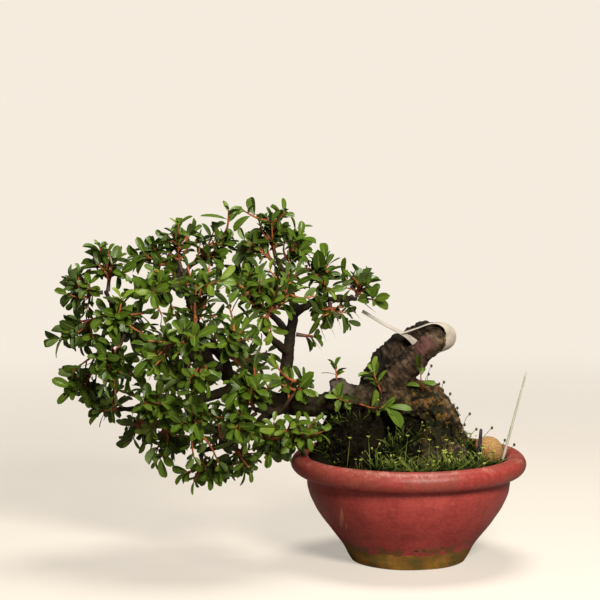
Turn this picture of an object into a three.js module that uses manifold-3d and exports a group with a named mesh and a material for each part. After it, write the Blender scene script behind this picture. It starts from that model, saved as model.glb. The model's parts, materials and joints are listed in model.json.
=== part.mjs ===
// A semi-cascade firethorn bonsai in a round pot with a rolled rim, in millimetres, +Z up.
// The origin is the middle of the pot's flat foot. The viewer stands at -Y, and the crown hangs out to -X.
// The wood (roots, trunk and branches) is one grown piece. Every leafy shoot is a piece of its own, and so
// are the pot, the mesh over its drain holes, the soil, the moss and the few things the grower has added:
// a ball of fertiliser, the wire pin beside it, a slim marker stick and a strap label looped round the trunk.
import * as THREE from "three";
import { mergeVertices } from "three/addons/utils/BufferGeometryUtils.js";
import Module from "manifold-3d";

const wasm = await Module();
wasm.setup();

// ---- Driving dimensions -------------------------------------------------------------------------

const GAP = 0.35; // clearance between neighbouring pieces

const POT = {
  rimRadius: 105, // outermost
  rimTube: 9, // radius of the rolled rim's round section
  rimHeight: 96,
  footRadius: 52,
  footHeight: 10.5, // the unglazed band
  wall: 6.5,
  floor: 9,
  drainHoles: 3,
  drainRadius: 7,
  drainCircle: 24,
  turns: 30, // facets round the pot
};
const MESH_DISC = { radius: 38, thickness: 1 };
const SOIL = { level: 89.5, bottom: 10.7, bottomRadius: 41 };
const BALL = { radius: 13.2, at: [70.5, -9, 98.7] };
const PIN = { at: [59.5, -41, 78], lean: [3, 2, 45], legGap: [2, 5], wire: 1.3 };
const STICK = { from: [79, 4, 66], to: [105, 4, 168], bottom: 1.4, top: 0.9 };
const LEAF = { length: 22, width: 8.5, thickness: 1, count: 7 };

// ---- Materials ----------------------------------------------------------------------------------

const finish = (color, roughness) => new THREE.MeshStandardMaterial({ color, roughness, metalness: 0 });
const GLAZE = finish(0x9c3d37, 0.35);
const PLASTIC_MESH = finish(0x2f4a38, 0.6);
const EARTH = finish(0x2a2118, 0.95);
const MOSS = finish(0x47601f, 0.95);
const BARK = finish(0x4a372c, 0.85);
const FOLIAGE = finish(0x3f7a2b, 0.45);
const YOUNG_FOLIAGE = finish(0x6d9a36, 0.45);
const FERTILISER = finish(0xa8743a, 0.95);
const BLACK_WIRE = finish(0x1c1c20, 0.5);
const PALE_STICK = finish(0xc3c1a6, 0.6);
const WHITE_PLASTIC = finish(0xe6dfd4, 0.4);

// ---- Solids -------------------------------------------------------------------------------------

const vector = (p) => new THREE.Vector3(...p);

// A repeatable source of random numbers from 0 to 1.
function randomFrom(seed) {
  let state = seed;
  return () => {
    state = (state + 0x6d2b79f5) | 0;
    let t = Math.imul(state ^ (state >>> 15), 1 | state);
    t = (t + Math.imul(t ^ (t >>> 7), 61 | t)) ^ t;
    return ((t ^ (t >>> 14)) >>> 0) / 4294967296;
  };
}

// A closed three.js geometry as a solid that can be joined and cut.
function solidOf(geometry) {
  const bare = geometry.index ? geometry.toNonIndexed() : geometry.clone();
  bare.deleteAttribute("normal");
  bare.deleteAttribute("uv");
  const merged = mergeVertices(bare, 1e-4);
  const corners = merged.index.array;
  const kept = [];
  for (let i = 0; i < corners.length; i += 3) {
    const [a, b, c] = corners.slice(i, i + 3);
    if (a !== b && b !== c && c !== a) kept.push(a, b, c);
  }
  const vertProperties = merged.attributes.position.array;
  return new wasm.Manifold(new wasm.Mesh({ numProp: 3, vertProperties, triVerts: new Uint32Array(kept) }));
}

function join(solids) {
  return solids.reduce((whole, next) => whole.add(next));
}

// The biggest piece of a solid, without the crumbs that a cut leaves.
function biggest(solid) {
  const pieces = solid.decompose();
  return pieces.reduce((best, next) => (next.volume() > best.volume() ? next : best));
}

// A solid turned about Z from an outline of [radius, height] points that starts and ends on the axis.
function turned(outline, facets = POT.turns) {
  const points = outline.map(([radius, height]) => new THREE.Vector2(radius, height));
  return solidOf(new THREE.LatheGeometry(points, facets).rotateX(Math.PI / 2));
}

function upright(radius, low, high, facets, x = 0, y = 0) {
  const shape = new THREE.CylinderGeometry(radius, radius, high - low, facets);
  return solidOf(shape.rotateX(Math.PI / 2).translate(x, y, (low + high) / 2));
}

function ellipsoid([x, y, z], [rx, ry, rz], grow = 0, facets = 12) {
  const ball = new THREE.SphereGeometry(1, facets, facets / 2).rotateX(Math.PI / 2);
  return solidOf(ball.scale(rx + grow, ry + grow, rz + grow).translate(x, y, z));
}

// A round, tapering stem along a smooth curve through the stations, each [x, y, z, radius].
// A closed cylinder is carried along the curve ring by ring. knots makes its section uneven.
function stem(stations, { sides = 8, perStation = 2, grow = 0, knots = 0 } = {}) {
  const curve = new THREE.CatmullRomCurve3(stations.map(([x, y, z]) => new THREE.Vector3(x, y, z)));
  const steps = (stations.length - 1) * perStation;
  const rings = [];
  let along = curve.getTangent(0);
  const across = new THREE.Vector3(0, 1, 0.3).cross(along).normalize();
  for (let k = 0; k <= steps; k++) {
    const t = k / steps;
    const next = curve.getTangent(t);
    across.applyQuaternion(new THREE.Quaternion().setFromUnitVectors(along, next)).normalize();
    along = next;
    const spot = Math.min(t * (stations.length - 1), stations.length - 1.0001);
    const before = Math.floor(spot);
    const radius = THREE.MathUtils.lerp(stations[before][3], stations[before + 1][3], spot - before);
    const over = new THREE.Vector3().crossVectors(across, along);
    const end = k === 0 ? -grow : k === steps ? grow : 0;
    const at = curve.getPoint(t).addScaledVector(along, end);
    rings.push({ at, across: across.clone(), over, radius: radius + grow });
  }
  const shape = new THREE.CylinderGeometry(1, 1, steps, sides, steps);
  const position = shape.attributes.position;
  for (let i = 0; i < position.count; i++) {
    const [x, y, z] = [position.getX(i), position.getY(i), position.getZ(i)];
    const k = Math.round(y + steps / 2);
    const ring = rings[k];
    const angle = Math.atan2(z, x);
    const uneven = 1 + knots * (Math.sin(3 * angle + 1.7 * k) + 0.6 * Math.sin(2 * angle - 0.9 * k));
    const radius = ring.radius * uneven;
    const at = ring.at
      .clone()
      .addScaledVector(ring.across, x * radius)
      .addScaledVector(ring.over, z * radius);
    position.setXYZ(i, at.x, at.y, at.z);
  }
  return solidOf(shape);
}

// A flat strip along part of a smooth curve, from one station to another. Each station is
// { at, across, width }, where `across` is the way that its width lies.
function ribbon(stations, thickness, from = 0, to = stations.length - 1, perStation = 2) {
  const curve = new THREE.CatmullRomCurve3(stations.map((s) => vector(s.at)));
  const steps = (to - from) * perStation;
  const shape = new THREE.BoxGeometry(1, steps, 1, 1, steps, 1);
  const position = shape.attributes.position;
  for (let i = 0; i < position.count; i++) {
    const t = (from + (position.getY(i) + steps / 2) / perStation) / (stations.length - 1);
    const spot = Math.min(t * (stations.length - 1), stations.length - 1.0001);
    const before = Math.floor(spot);
    const [a, b] = [stations[before], stations[before + 1]];
    const width = THREE.MathUtils.lerp(a.width, b.width, spot - before);
    const along = curve.getTangent(t);
    const across = vector(a.across).lerp(vector(b.across), spot - before);
    across.addScaledVector(along, -across.dot(along)).normalize();
    const face = new THREE.Vector3().crossVectors(across, along);
    const at = curve
      .getPoint(t)
      .addScaledVector(across, position.getX(i) * width)
      .addScaledVector(face, position.getZ(i) * thickness);
    position.setXYZ(i, at.x, at.y, at.z);
  }
  return solidOf(shape);
}

// One leaf: a flat six-cornered lens from its stalk at `base`, broadest towards its outer end.
function leaf(base, along, up, length, grow = 0) {
  const width = (length * LEAF.width) / LEAF.length;
  const lens = new THREE.SphereGeometry(0.5, 6, 2);
  const position = lens.attributes.position;
  for (let i = 0; i < position.count; i++) {
    const forward = position.getX(i);
    const between = Math.abs(forward) < 0.3; // neither the stalk's end nor the tip
    position.setX(i, forward * (length + 2 * grow) + length * (between ? 0.6 : 0.5));
    position.setY(i, position.getY(i) * (LEAF.thickness + 2 * grow));
    position.setZ(i, position.getZ(i) * (width + 2 * grow) * (forward < 0 ? 0.8 : 1.1));
  }
  const x = along.clone().normalize();
  const y = up.clone().addScaledVector(x, -up.dot(x)).normalize();
  const z = new THREE.Vector3().crossVectors(x, y);
  lens.applyMatrix4(new THREE.Matrix4().makeBasis(x, y, z).setPosition(base));
  return solidOf(lens);
}

// ---- The assembly, and what already takes up room in it -----------------------------------------

const bonsai = new THREE.Group();
const placed = [];

function place(name, solid, material) {
  const { vertProperties, triVerts, numProp } = solid.getMesh();
  const points = new Float32Array((vertProperties.length / numProp) * 3);
  for (let i = 0; i < points.length / 3; i++) {
    points.set(vertProperties.subarray(i * numProp, i * numProp + 3), i * 3);
  }
  const geometry = new THREE.BufferGeometry();
  geometry.setAttribute("position", new THREE.BufferAttribute(points, 3));
  geometry.setIndex(new THREE.BufferAttribute(triVerts, 1));
  geometry.computeVertexNormals();
  const mesh = new THREE.Mesh(geometry, material);
  mesh.name = name;
  bonsai.add(mesh);
  placed.push({ solid, box: boxOf(solid) });
}

function boxOf(solid) {
  const { min, max } = solid.boundingBox();
  return new THREE.Box3(vector(min), vector(max));
}

const hits = (solid) => {
  const box = boxOf(solid);
  return placed.some((p) => p.box.intersectsBox(box) && solid.intersect(p.solid).volume() > 1e-4);
};

// ---- Pot: thrown bowl on a flat foot, with a rolled rim -----------------------------------------

const rimMiddle = [POT.rimRadius - POT.rimTube, POT.rimHeight - POT.rimTube];
const rimPoint = (degrees) => {
  const a = THREE.MathUtils.degToRad(degrees);
  return [rimMiddle[0] + POT.rimTube * Math.cos(a), rimMiddle[1] + POT.rimTube * Math.sin(a)];
};
// The bowl's outside as [radius, height], from the foot to the neck under the rim.
const bowlOutside = [
  [POT.footRadius, 0],
  [57, POT.footHeight],
  [64, 21.5],
  [75.5, 36],
  [84.5, 50],
  [90, 64],
  [92, 76.5],
];
const bowlInside = bowlOutside
  .slice(1)
  .map(([radius, height]) => [radius - POT.wall - 1, Math.max(height + 1, POT.floor)])
  .reverse();

const potSolid = turned([
  [0, 0],
  ...bowlOutside,
  ...[-110, -70, -35, 0, 35, 70, 110, 150, 180].map(rimPoint),
  ...bowlInside,
  [40, POT.floor],
  [0, POT.floor],
]);
const drains = Array.from({ length: POT.drainHoles }, (_, i) => {
  const a = (i / POT.drainHoles) * 2 * Math.PI + Math.PI / 2;
  const [x, y] = [POT.drainCircle * Math.cos(a), POT.drainCircle * Math.sin(a)];
  return upright(POT.drainRadius, -1, POT.floor + 1, 12, x, y);
});
place("pot", potSolid.subtract(join(drains)), GLAZE);
const meshBottom = POT.floor + GAP;
place(
  "drainage_mesh",
  upright(MESH_DISC.radius, meshBottom, meshBottom + MESH_DISC.thickness, 24),
  PLASTIC_MESH,
);

// ---- Wood: surface roots, the doubled-back trunk and its branches, grown as one -------------------

const thick = { sides: 9, perStation: 1, knots: 0.05 };
const thin = { sides: 6, perStation: 1 };
// Each stem's stations are [x, y, z, radius].
const ARCH = [
  [35, -4, 78, 20], [35, -6, 103, 19], [29, -8, 124, 20], [15, -10, 144, 20], [-6, -12, 150, 17],
  [-30, -12, 146, 13.5], [-57, -10, 145, 11], [-86, -6, 139, 10], [-108, -3, 139, 9], [-124, 0, 144, 8],
];
const HAIRPIN = [
  [-20, -14, 154, 13], [-7, -17, 173, 12.5], [12, -15, 190, 10.8], [23, -8, 198, 10.4], [24, 3, 202, 10.4],
  [13, 11, 202, 11.2], [-4, 15, 192, 12.3], [-21, 17, 176, 12.8], [-30, 18, 157, 13.2], [-34, 18, 133, 14],
];
const ROOTS = [
  [[28, -12, 117, 14], [38, -24, 99, 11], [46, -30, 90, 7], [50, -33, 84, 4]],
  [[22, -16, 115, 14], [16, -40, 98, 10], [10, -56, 86, 6], [6, -62, 80, 4]],
  [[28, 2, 117, 14], [28, 32, 100, 11], [26, 52, 88, 7], [24, 60, 80, 4]],
  [[34, 2, 103, 14], [50, 20, 95, 9], [62, 30, 85, 5]],
];
const KNOB = [[-58, -10, 144, 10], [-62, -11, 154, 9], [-64, -12, 163, 7.5]];
const BRANCHES = [
  [
    [-106, -2, 140, 7], [-110, 5, 168, 6.5], [-106, 10, 199, 5.5], [-102, 11, 224, 4.5],
    [-108, 6, 250, 3.5], [-118, 2, 269, 2.5],
  ],
  [[-103, 10, 220, 4.5], [-84, 6, 232, 3.8], [-62, 2, 235, 3], [-46, 0, 234, 2.2]],
  [
    [-122, 0, 143, 8], [-150, 2, 158, 7.5], [-180, 0, 177, 6.5], [-212, -2, 193, 5],
    [-246, -2, 203, 4], [-272, 0, 207, 2.5],
  ],
  [[-178, 0, 176, 6], [-188, 6, 205, 4.8], [-197, 8, 234, 3.6], [-206, 4, 261, 2.4]],
  [[-146, 2, 156, 6], [-184, -8, 146, 4.6], [-222, -10, 136, 3.6], [-258, -4, 136, 2.4]],
  [[-116, -2, 141, 6], [-138, -8, 119, 4.6], [-162, -10, 105, 3.6], [-188, -8, 98, 2.4]],
  [[-160, 0, 164, 5.5], [-162, -30, 181, 4], [-172, -52, 195, 3], [-190, -64, 201, 2.2]],
  [[-160, 2, 164, 5.5], [-166, 34, 179, 4], [-178, 54, 191, 2.6]],
  [[-108, -6, 138, 5.5], [-118, -34, 138, 4], [-136, -58, 144, 2.6]],
  [[-106, 10, 199, 4.5], [-116, 36, 209, 3.4], [-128, 54, 218, 2.4]],
  [[-246, -2, 203, 3.4], [-262, -6, 226, 2.8], [-270, -4, 242, 2.2]],
  [[-108, 7, 185, 4.5], [-122, -22, 201, 3.4], [-132, -44, 216, 2.4]],
];

function wood(grow = 0) {
  return join([
    stem(ARCH, { ...thick, grow }),
    stem(HAIRPIN, { ...thick, grow }),
    stem(KNOB, { ...thick, sides: 8, grow }),
    ...ROOTS.map((root) => stem(root, { ...thick, sides: 6, grow })),
    ...BRANCHES.map((branch) => stem(branch, { ...thin, grow })),
  ]);
}
const woodSolid = biggest(wood());
const woodRoom = wood(GAP);
place("trunk", woodSolid, BARK);

// ---- Things the grower has added -----------------------------------------------------------------

place("fertiliser_ball", ellipsoid(BALL.at, Array(3).fill(BALL.radius), 0, 16), FERTILISER);

const pinTop = vector(PIN.at).add(vector(PIN.lean));
const pinLeg = (side, grow) => {
  const foot = vector(PIN.at).add(vector([...PIN.legGap, 0]).multiplyScalar(side / 2));
  const stations = [[...foot.toArray(), PIN.wire], [...pinTop.toArray(), PIN.wire]];
  return stem(stations, { sides: 6, perStation: 1, grow });
};
const pin = (grow = 0) => join([pinLeg(-1, grow), pinLeg(1, grow)]);
place("wire_pin", pin(), BLACK_WIRE);

const stick = (grow = 0) =>
  stem([[...STICK.from, STICK.bottom], [...STICK.to, STICK.top]], { sides: 6, perStation: 2, grow });
place("marker_stick", stick(), PALE_STICK);

// The strap is threaded through the eye between the two limbs, round the bend, and through its own slot,
// where its two ends are joined. STRAP_BEND is the station at which the one half ends and the other starts.
const STRAP = [
  { at: [-42, -6, 224], across: [0, 0.75, 0.66], width: 4 },
  { at: [-24, -7, 213.5], across: [0, 0.75, 0.66], width: 4 },
  { at: [-5, -8, 203.5], across: [0.1, 0.7, 0.7], width: 5 },
  { at: [5, -3, 195], across: [0.4, 0.5, 0.7], width: 7 },
  { at: [14, 3, 184.5], across: [0.3, 0.85, 0.3], width: 9 },
  { at: [25, 3, 182], across: [0.5, 0.8, 0.2], width: 10 },
  { at: [34.5, 0, 187.5], across: [0.7, 0.7, 0], width: 10.5 },
  { at: [38.5, -2, 196], across: [0.78, 0.62, 0], width: 11 },
  { at: [38, -3, 204.5], across: [0.78, 0.6, 0.1], width: 11 },
  { at: [31, -4, 211.5], across: [0.4, 0.85, 0.3], width: 10 },
  { at: [20, -5, 213], across: [0.1, 0.93, 0.3], width: 8 },
  { at: [7, -7, 209], across: [0.1, 0.85, 0.45], width: 7 },
  { at: [-7, -8.5, 204.5], across: [0.1, 0.75, 0.65], width: 6 },
];
const STRAP_THICKNESS = 0.8;
const STRAP_BEND = 6;
const strapHalves = [
  ribbon(STRAP, STRAP_THICKNESS, 0, STRAP_BEND),
  ribbon(STRAP, STRAP_THICKNESS, STRAP_BEND),
];
const strap = biggest(join(strapHalves).subtract(woodRoom));
place("strap_label", strap, WHITE_PLASTIC);

// ---- Soil, heaped over the roots, and the moss on it -----------------------------------------------

// Each mound is a centre and three radii.
const MOUNDS = [
  [[-44, 0, 90], [39, 44, 60]],
  [[-38, 2, 89], [47, 50, 45]],
  [[-63, 2, 88], [22, 38, 24]],
  [[-4, 6, 87], [54, 44, 58]],
  [[28, 4, 85], [46, 44, 28]],
];
const soilShape = (grow = 0) => {
  const inside = bowlInside
    .filter(([, height]) => height < SOIL.level && height > SOIL.bottom)
    .map(([radius, height]) => [radius - GAP * 1.6, height])
    .reverse();
  const fill = turned([
    [0, SOIL.bottom],
    [SOIL.bottomRadius, SOIL.bottom],
    ...inside,
    [inside.at(-1)[0] + 0.5, SOIL.level + grow],
    [0, SOIL.level + 2 + grow],
  ]);
  return join([fill, ...MOUNDS.map(([middle, radii]) => ellipsoid(middle, radii, grow))]);
};
const buried = join([
  woodRoom,
  ellipsoid(BALL.at, Array(3).fill(BALL.radius), GAP, 16),
  pin(GAP),
  stick(GAP),
]);
place("soil", biggest(soilShape().subtract(buried)), EARTH);

const MOSS_REACH = [[24, -46, 96], [64, 42, 26]];
const MOSS_DEPTH = 3;
const mossSolid = ellipsoid(...MOSS_REACH)
  .intersect(soilShape(MOSS_DEPTH))
  .intersect(upright(bowlInside[0][0] - 2, SOIL.level, 200, POT.turns))
  .subtract(soilShape(GAP))
  .subtract(buried);
place("moss_carpet", biggest(mossSolid), MOSS);

// ---- Leafy shoots ----------------------------------------------------------------------------------

// Points along the middle of every branch and limb that can carry a shoot.
const carriers = [ARCH.slice(6), ...BRANCHES].flatMap((stations) => {
  const curve = new THREE.CatmullRomCurve3(stations.map(([x, y, z]) => new THREE.Vector3(x, y, z)));
  return curve.getPoints(stations.length * 6).slice(4);
});

function twigMiddle(base, tip) {
  const sag = new THREE.Vector3(0, 0, -0.06 * base.distanceTo(tip));
  return base.clone().lerp(tip, 0.55).add(sag);
}

function twig(base, tip, grow = 0) {
  const middle = twigMiddle(base, tip);
  const stations = [[...base.toArray(), 1.5], [...middle.toArray(), 1.2], [...tip.toArray(), 0.8]];
  return biggest(stem(stations, { sides: 5, perStation: 1, grow }).subtract(woodRoom));
}

// The closest point of the wood from which a twig can reach `tip` without touching another shoot.
function footOf(tip) {
  const byDistance = [...carriers].sort((a, b) => a.distanceTo(tip) - b.distanceTo(tip));
  return byDistance.find((foot) => !hits(twig(foot, tip, GAP / 2)));
}

// A shoot grows from `base` through `tip`, with leaves turned a golden angle from each other.
// A leaf that would touch a neighbour is tried at other angles, and then left out.
function shoot(name, base, tip, { leaves = LEAF.count, length = LEAF.length, seed, material = FOLIAGE }) {
  const random = randomFrom(seed);
  const along = tip.clone().sub(base);
  const reach = along.length();
  along.normalize();
  const middle = twigMiddle(base, tip);
  const curve = new THREE.CatmullRomCurve3([base, middle, tip]);
  const leafy = Math.min(0.75, 34 / reach); // the share of the twig that carries leaves
  const GOLDEN = Math.PI * (3 - Math.sqrt(5));
  let whole = twig(base, tip);
  for (let i = 0; i < leaves; i++) {
    const t = 1 - leafy * (i / leaves);
    const at = curve.getPoint(t);
    const side = new THREE.Vector3(0, 0, 1).cross(along).normalize();
    const top = new THREE.Vector3().crossVectors(along, side);
    const size = length * (0.72 + 0.45 * random());
    const spread = i === 0 ? 0.25 : 0.75 + 0.45 * random();
    for (let attempt = 0; attempt < 5; attempt++) {
      const angle = GOLDEN * i + seed + attempt * 1.1;
      const out = side.clone().multiplyScalar(Math.cos(angle)).addScaledVector(top, Math.sin(angle));
      const way = along.clone().addScaledVector(out, spread).add(new THREE.Vector3(0, 0, 0.18)).normalize();
      const up = new THREE.Vector3(0.1, -0.35, 1).addScaledVector(out, 0.3);
      if (hits(leaf(at, way, up, size, GAP))) continue;
      whole = whole.add(leaf(at, way, up, size));
      break;
    }
  }
  place(name, biggest(whole), material);
}

// Where each shoot of the crown ends, [x, y, z]. Each grows from the nearest point of the wood.
const CROWN = [
  // the outline seen from the front, clockwise from the top
  [-122, 0, 306], [-102, 4, 282], [-78, -4, 261], [-45, 0, 244], [-70, 2, 225], [-86, 8, 199],
  // the lower edge, from the trunk outwards
  [-99, -22, 112], [-124, -18, 110], [-150, -6, 92], [-184, -8, 84], [-216, -2, 100], [-240, 2, 118],
  // the far left, upwards, and one in front of the trunk's first branch
  [-264, -2, 136], [-296, 0, 150], [-92, -32, 170], [-304, 0, 200], [-294, -4, 244], [-268, 0, 270],
  // the upper left, back to the top
  [-230, 4, 275], [-204, 0, 292], [-164, 6, 291], [-142, 4, 285],
  // the near face
  [-106, -50, 250], [-140, -62, 261], [-182, -56, 255], [-224, -46, 250], [-256, -44, 222], [-152, -84, 216],
  [-196, -84, 207], [-230, -70, 195], [-262, -46, 178], [-138, -82, 170], [-184, -82, 168], [-222, -62, 152],
  [-150, -66, 134], [-190, -54, 126],
  // the far face
  [-112, 62, 246], [-160, 60, 255], [-210, 50, 246], [-250, 42, 209], [-190, 76, 199], [-222, 58, 156],
  [-136, 62, 168], [-168, 44, 116],
];
CROWN.forEach((end, i) => {
  const tip = vector(end);
  const number = String(i + 1).padStart(2, "0");
  shoot(`leafy_shoot_${number}`, footOf(tip), tip, { seed: i + 1 });
});

// Shoots that break from the old wood of the trunk: [foot, tip, leaves, leaf length].
const SPROUTS = [
  [[-63, -12, 159], [-66, -13, 176], 5, 15],
  [[-24, -24, 154], [-33, -30, 176], 5, 17],
  [[12, -26, 156], [9, -33, 174], 4, 19],
  [[-58, -18, 146], [-20, -36, 142], 6, 24],
  [[-54, -18, 144], [-66, -34, 152], 5, 15],
];
SPROUTS.forEach(([foot, end, leaves, length], i) => {
  shoot(`trunk_sprout_${i + 1}`, vector(foot), vector(end), {
    leaves, length, seed: 100 + i, material: YOUNG_FOLIAGE,
  });
});

export default bonsai;
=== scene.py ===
import json
import math
import random

import bmesh
import bpy
import numpy as np
from mathutils import Matrix, Vector, noise
from mathutils.bvhtree import BVHTree

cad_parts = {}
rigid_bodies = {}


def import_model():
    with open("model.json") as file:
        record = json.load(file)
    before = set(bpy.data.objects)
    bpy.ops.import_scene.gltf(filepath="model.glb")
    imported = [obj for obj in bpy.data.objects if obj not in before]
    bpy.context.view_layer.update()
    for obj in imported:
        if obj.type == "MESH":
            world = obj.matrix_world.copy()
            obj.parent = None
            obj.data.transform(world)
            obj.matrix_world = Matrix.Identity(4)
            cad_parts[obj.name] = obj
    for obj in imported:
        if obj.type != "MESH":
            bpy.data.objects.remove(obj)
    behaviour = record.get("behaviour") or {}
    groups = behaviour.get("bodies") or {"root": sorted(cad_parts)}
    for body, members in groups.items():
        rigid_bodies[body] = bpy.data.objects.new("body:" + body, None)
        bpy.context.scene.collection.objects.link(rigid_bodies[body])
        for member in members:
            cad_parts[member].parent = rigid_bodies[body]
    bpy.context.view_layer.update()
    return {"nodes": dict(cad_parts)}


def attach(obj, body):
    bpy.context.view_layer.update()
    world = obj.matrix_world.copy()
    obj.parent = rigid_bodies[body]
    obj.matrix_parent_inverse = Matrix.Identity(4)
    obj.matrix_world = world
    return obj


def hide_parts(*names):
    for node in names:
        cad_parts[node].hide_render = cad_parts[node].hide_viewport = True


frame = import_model()
scene = bpy.context.scene
MM = 0.001

# ---- Camera --------------------------------------------------------------------------------------------
# A long lens two metres away, a little above the crown's middle and tilted slightly down.
CAMERA_DISTANCE = 2.0
VIEW_WIDTH = 0.54  # at the distance of the pot
TILT = math.radians(6.3)
VIEW_RIGHT, VIEW_UP = -0.0972, 0.2318  # the middle of the view, from the pot's foot

forward = Vector((0, math.cos(TILT), -math.sin(TILT)))
right = Vector((1, 0, 0))
up = right.cross(forward)
lens = bpy.data.cameras.new("camera")
lens.sensor_width = 36
lens.lens = lens.sensor_width * CAMERA_DISTANCE / VIEW_WIDTH
camera = bpy.data.objects.new("camera", lens)
eye = right * VIEW_RIGHT + up * VIEW_UP - forward * CAMERA_DISTANCE
camera.matrix_world = Matrix.Translation(eye) @ Matrix((right, up, -forward)).transposed().to_4x4()
scene.collection.objects.link(camera)
scene.camera = camera
scene.view_settings.view_transform = "Standard"


# ---- Studio --------------------------------------------------------------------------------------------
# A round pale floor that fades into an even, warm backdrop. One big soft lamp stands to the upper right
# in front, a weaker one to the left, and a third hangs above.
def link(source, target):
    source.id_data.links.new(source, target)


def node(kind, sockets=None, tree=None, **settings):
    """Adds a node to the tree of its linked inputs, sets its options, and links or sets its inputs."""
    sockets = sockets or {}
    linked = {name: value for name, value in sockets.items() if isinstance(value, bpy.types.NodeSocket)}
    tree = tree or next(iter(linked.values())).id_data
    made = tree.nodes.new(kind)
    for name, value in settings.items():
        setattr(made, name, value)
    for name, value in sockets.items():
        if name in linked:
            link(value, made.inputs[name])
        else:
            made.inputs[name].default_value = value
    return made


def mix(share, a, b):
    """The colour that lies between a and b. Each is a socket, or its red, green and blue."""
    a, b = (c if isinstance(c, bpy.types.NodeSocket) else (*c, 1.0) for c in (a, b))
    return node("ShaderNodeMix", {0: share, 6: a, 7: b}, data_type="RGBA").outputs[2]


def rise(value, start, end, low=0.0, high=1.0):
    """Goes softly from low to high as the value goes from start to end."""
    sockets = {0: value, 1: start, 2: end, 3: low, 4: high}
    return node("ShaderNodeMapRange", sockets, interpolation_type="SMOOTHSTEP").outputs[0]


def new_finish(name, roughness=0.5, specular=0.5):
    """A new material, with its Principled shader and the Object coordinates."""
    material = bpy.data.materials.new(name)
    material.use_nodes = True
    shader = material.node_tree.nodes["Principled BSDF"]
    shader.inputs["Roughness"].default_value = roughness
    shader.inputs["Specular IOR Level"].default_value = specular
    return material, shader, node("ShaderNodeTexCoord", tree=material.node_tree).outputs["Object"]


def mesh_from(bm, name):
    mesh = bpy.data.meshes.new(name)
    bm.to_mesh(mesh)
    bm.free()
    return mesh


def add_lamp(name, place, size, watts, tint):
    lamp = bpy.data.lights.new(name, "AREA")
    lamp.shape = "DISK"
    lamp.size = size
    lamp.energy = watts
    lamp.color = tint
    holder = bpy.data.objects.new(name, lamp)
    turn = (LIT_MIDDLE - Vector(place)).to_track_quat("-Z", "Y")
    holder.matrix_world = Matrix.Translation(place) @ turn.to_matrix().to_4x4()
    scene.collection.objects.link(holder)


FLOOR_RADIUS = 1.6
LIT_MIDDLE = Vector((-0.08, 0, 0.16))  # where all the lamps point
BACKDROP = (0.915, 0.84, 0.735)

bm = bmesh.new()
bmesh.ops.create_circle(bm, cap_ends=True, segments=96, radius=FLOOR_RADIUS)
floor_mesh = mesh_from(bm, "floor")
floor = bpy.data.objects.new("floor", floor_mesh)
scene.collection.objects.link(floor)
floor_finish, shader, place = new_finish("floor paper", 0.6)
away = node("ShaderNodeVectorMath", {0: place}, operation="LENGTH").outputs["Value"]
seen = node("ShaderNodeLightPath", tree=shader.id_data).outputs["Is Camera Ray"]
link(mix(seen, (0.24, 0.20, 0.17), (0.50, 0.455, 0.395)), shader.inputs["Base Color"])
link(mix(seen, (0, 0, 0), BACKDROP), shader.inputs["Emission Color"])
shader.inputs["Emission Strength"].default_value = 0.45
link(rise(away, FLOOR_RADIUS * 0.95, FLOOR_RADIUS * 0.25), shader.inputs["Alpha"])
floor_mesh.materials.append(floor_finish)

world = bpy.data.worlds.new("studio")
scene.world = world
world.use_nodes = True
seen = node("ShaderNodeLightPath", tree=world.node_tree).outputs["Is Camera Ray"]
tint = mix(seen, (0.050, 0.046, 0.040), BACKDROP)
link(tint, world.node_tree.nodes["Background"].inputs["Color"])

add_lamp("key_lamp", (0.42, -1.40, 1.02), 0.5, 38, (1.0, 0.955, 0.89))
add_lamp("fill_lamp", (-1.2, -1.1, 0.6), 0.9, 0.7, (1.0, 0.97, 0.94))
add_lamp("top_lamp", (0.1, 0.2, 1.8), 0.8, 24, (1.0, 0.965, 0.91))


# ---- Pot -----------------------------------------------------------------------------------------------
# Thrown stoneware: a bowl that narrows to a flat foot, with a rolled rim and three drain holes in the
# floor. A red-brown glaze covers it down to the foot, which is bare clay, stained green by wet moss.
def smooth_line(stations, per_span):
    """Points along the smooth curve that runs through the stations."""
    p = np.array(stations, float)
    p = np.vstack([2 * p[0] - p[1], p, 2 * p[-1] - p[-2]])
    line = []
    for before, start, end, after in zip(p, p[1:], p[2:], p[3:]):
        for t in np.arange(per_span) / per_span:
            bend = (2 * before - 5 * start + 4 * end - after) * t**2
            twist = (3 * start - before - 3 * end + after) * t**3
            line.append(start + 0.5 * ((end - before) * t + bend + twist))
    return np.array([*line, p[-2]])


def new_piece(name, mesh, material, slot, *stands_for):
    """Shows a finished mesh as a piece of the tree or its pot."""
    if material:
        mesh.materials.append(material)
    piece = bpy.data.objects.new(name, mesh)
    scene.collection.objects.link(piece)
    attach(piece, "root")
    if stands_for:
        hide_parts(*stands_for)
    return piece


def evaluated(name, mesh, add_modifiers):
    """The mesh that is left when the modifiers have been applied."""
    carrier = bpy.data.objects.new(name, mesh)
    scene.collection.objects.link(carrier)
    add_modifiers(carrier)
    graph = bpy.context.evaluated_depsgraph_get()
    result = bpy.data.meshes.new_from_object(
        carrier.evaluated_get(graph), preserve_all_data_layers=True, depsgraph=graph
    )
    bpy.data.objects.remove(carrier)
    return result


def tube_mesh(name, verts, sides):
    """A smooth mesh of one point, rings of so many points each, and one last point."""
    faces, end = [], len(verts) - 1
    for k in range(sides):
        after = (k + 1) % sides
        faces.append((0, 1 + after, 1 + k))
        for low in range(1, end - sides, sides):
            high = low + sides
            faces.append((low + k, low + after, high + after, high + k))
        faces.append((end - sides + k, end - sides + after, end))
    mesh = bpy.data.meshes.new(name)
    mesh.from_pydata(verts, [], faces)
    mesh.shade_smooth()
    return mesh


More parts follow.
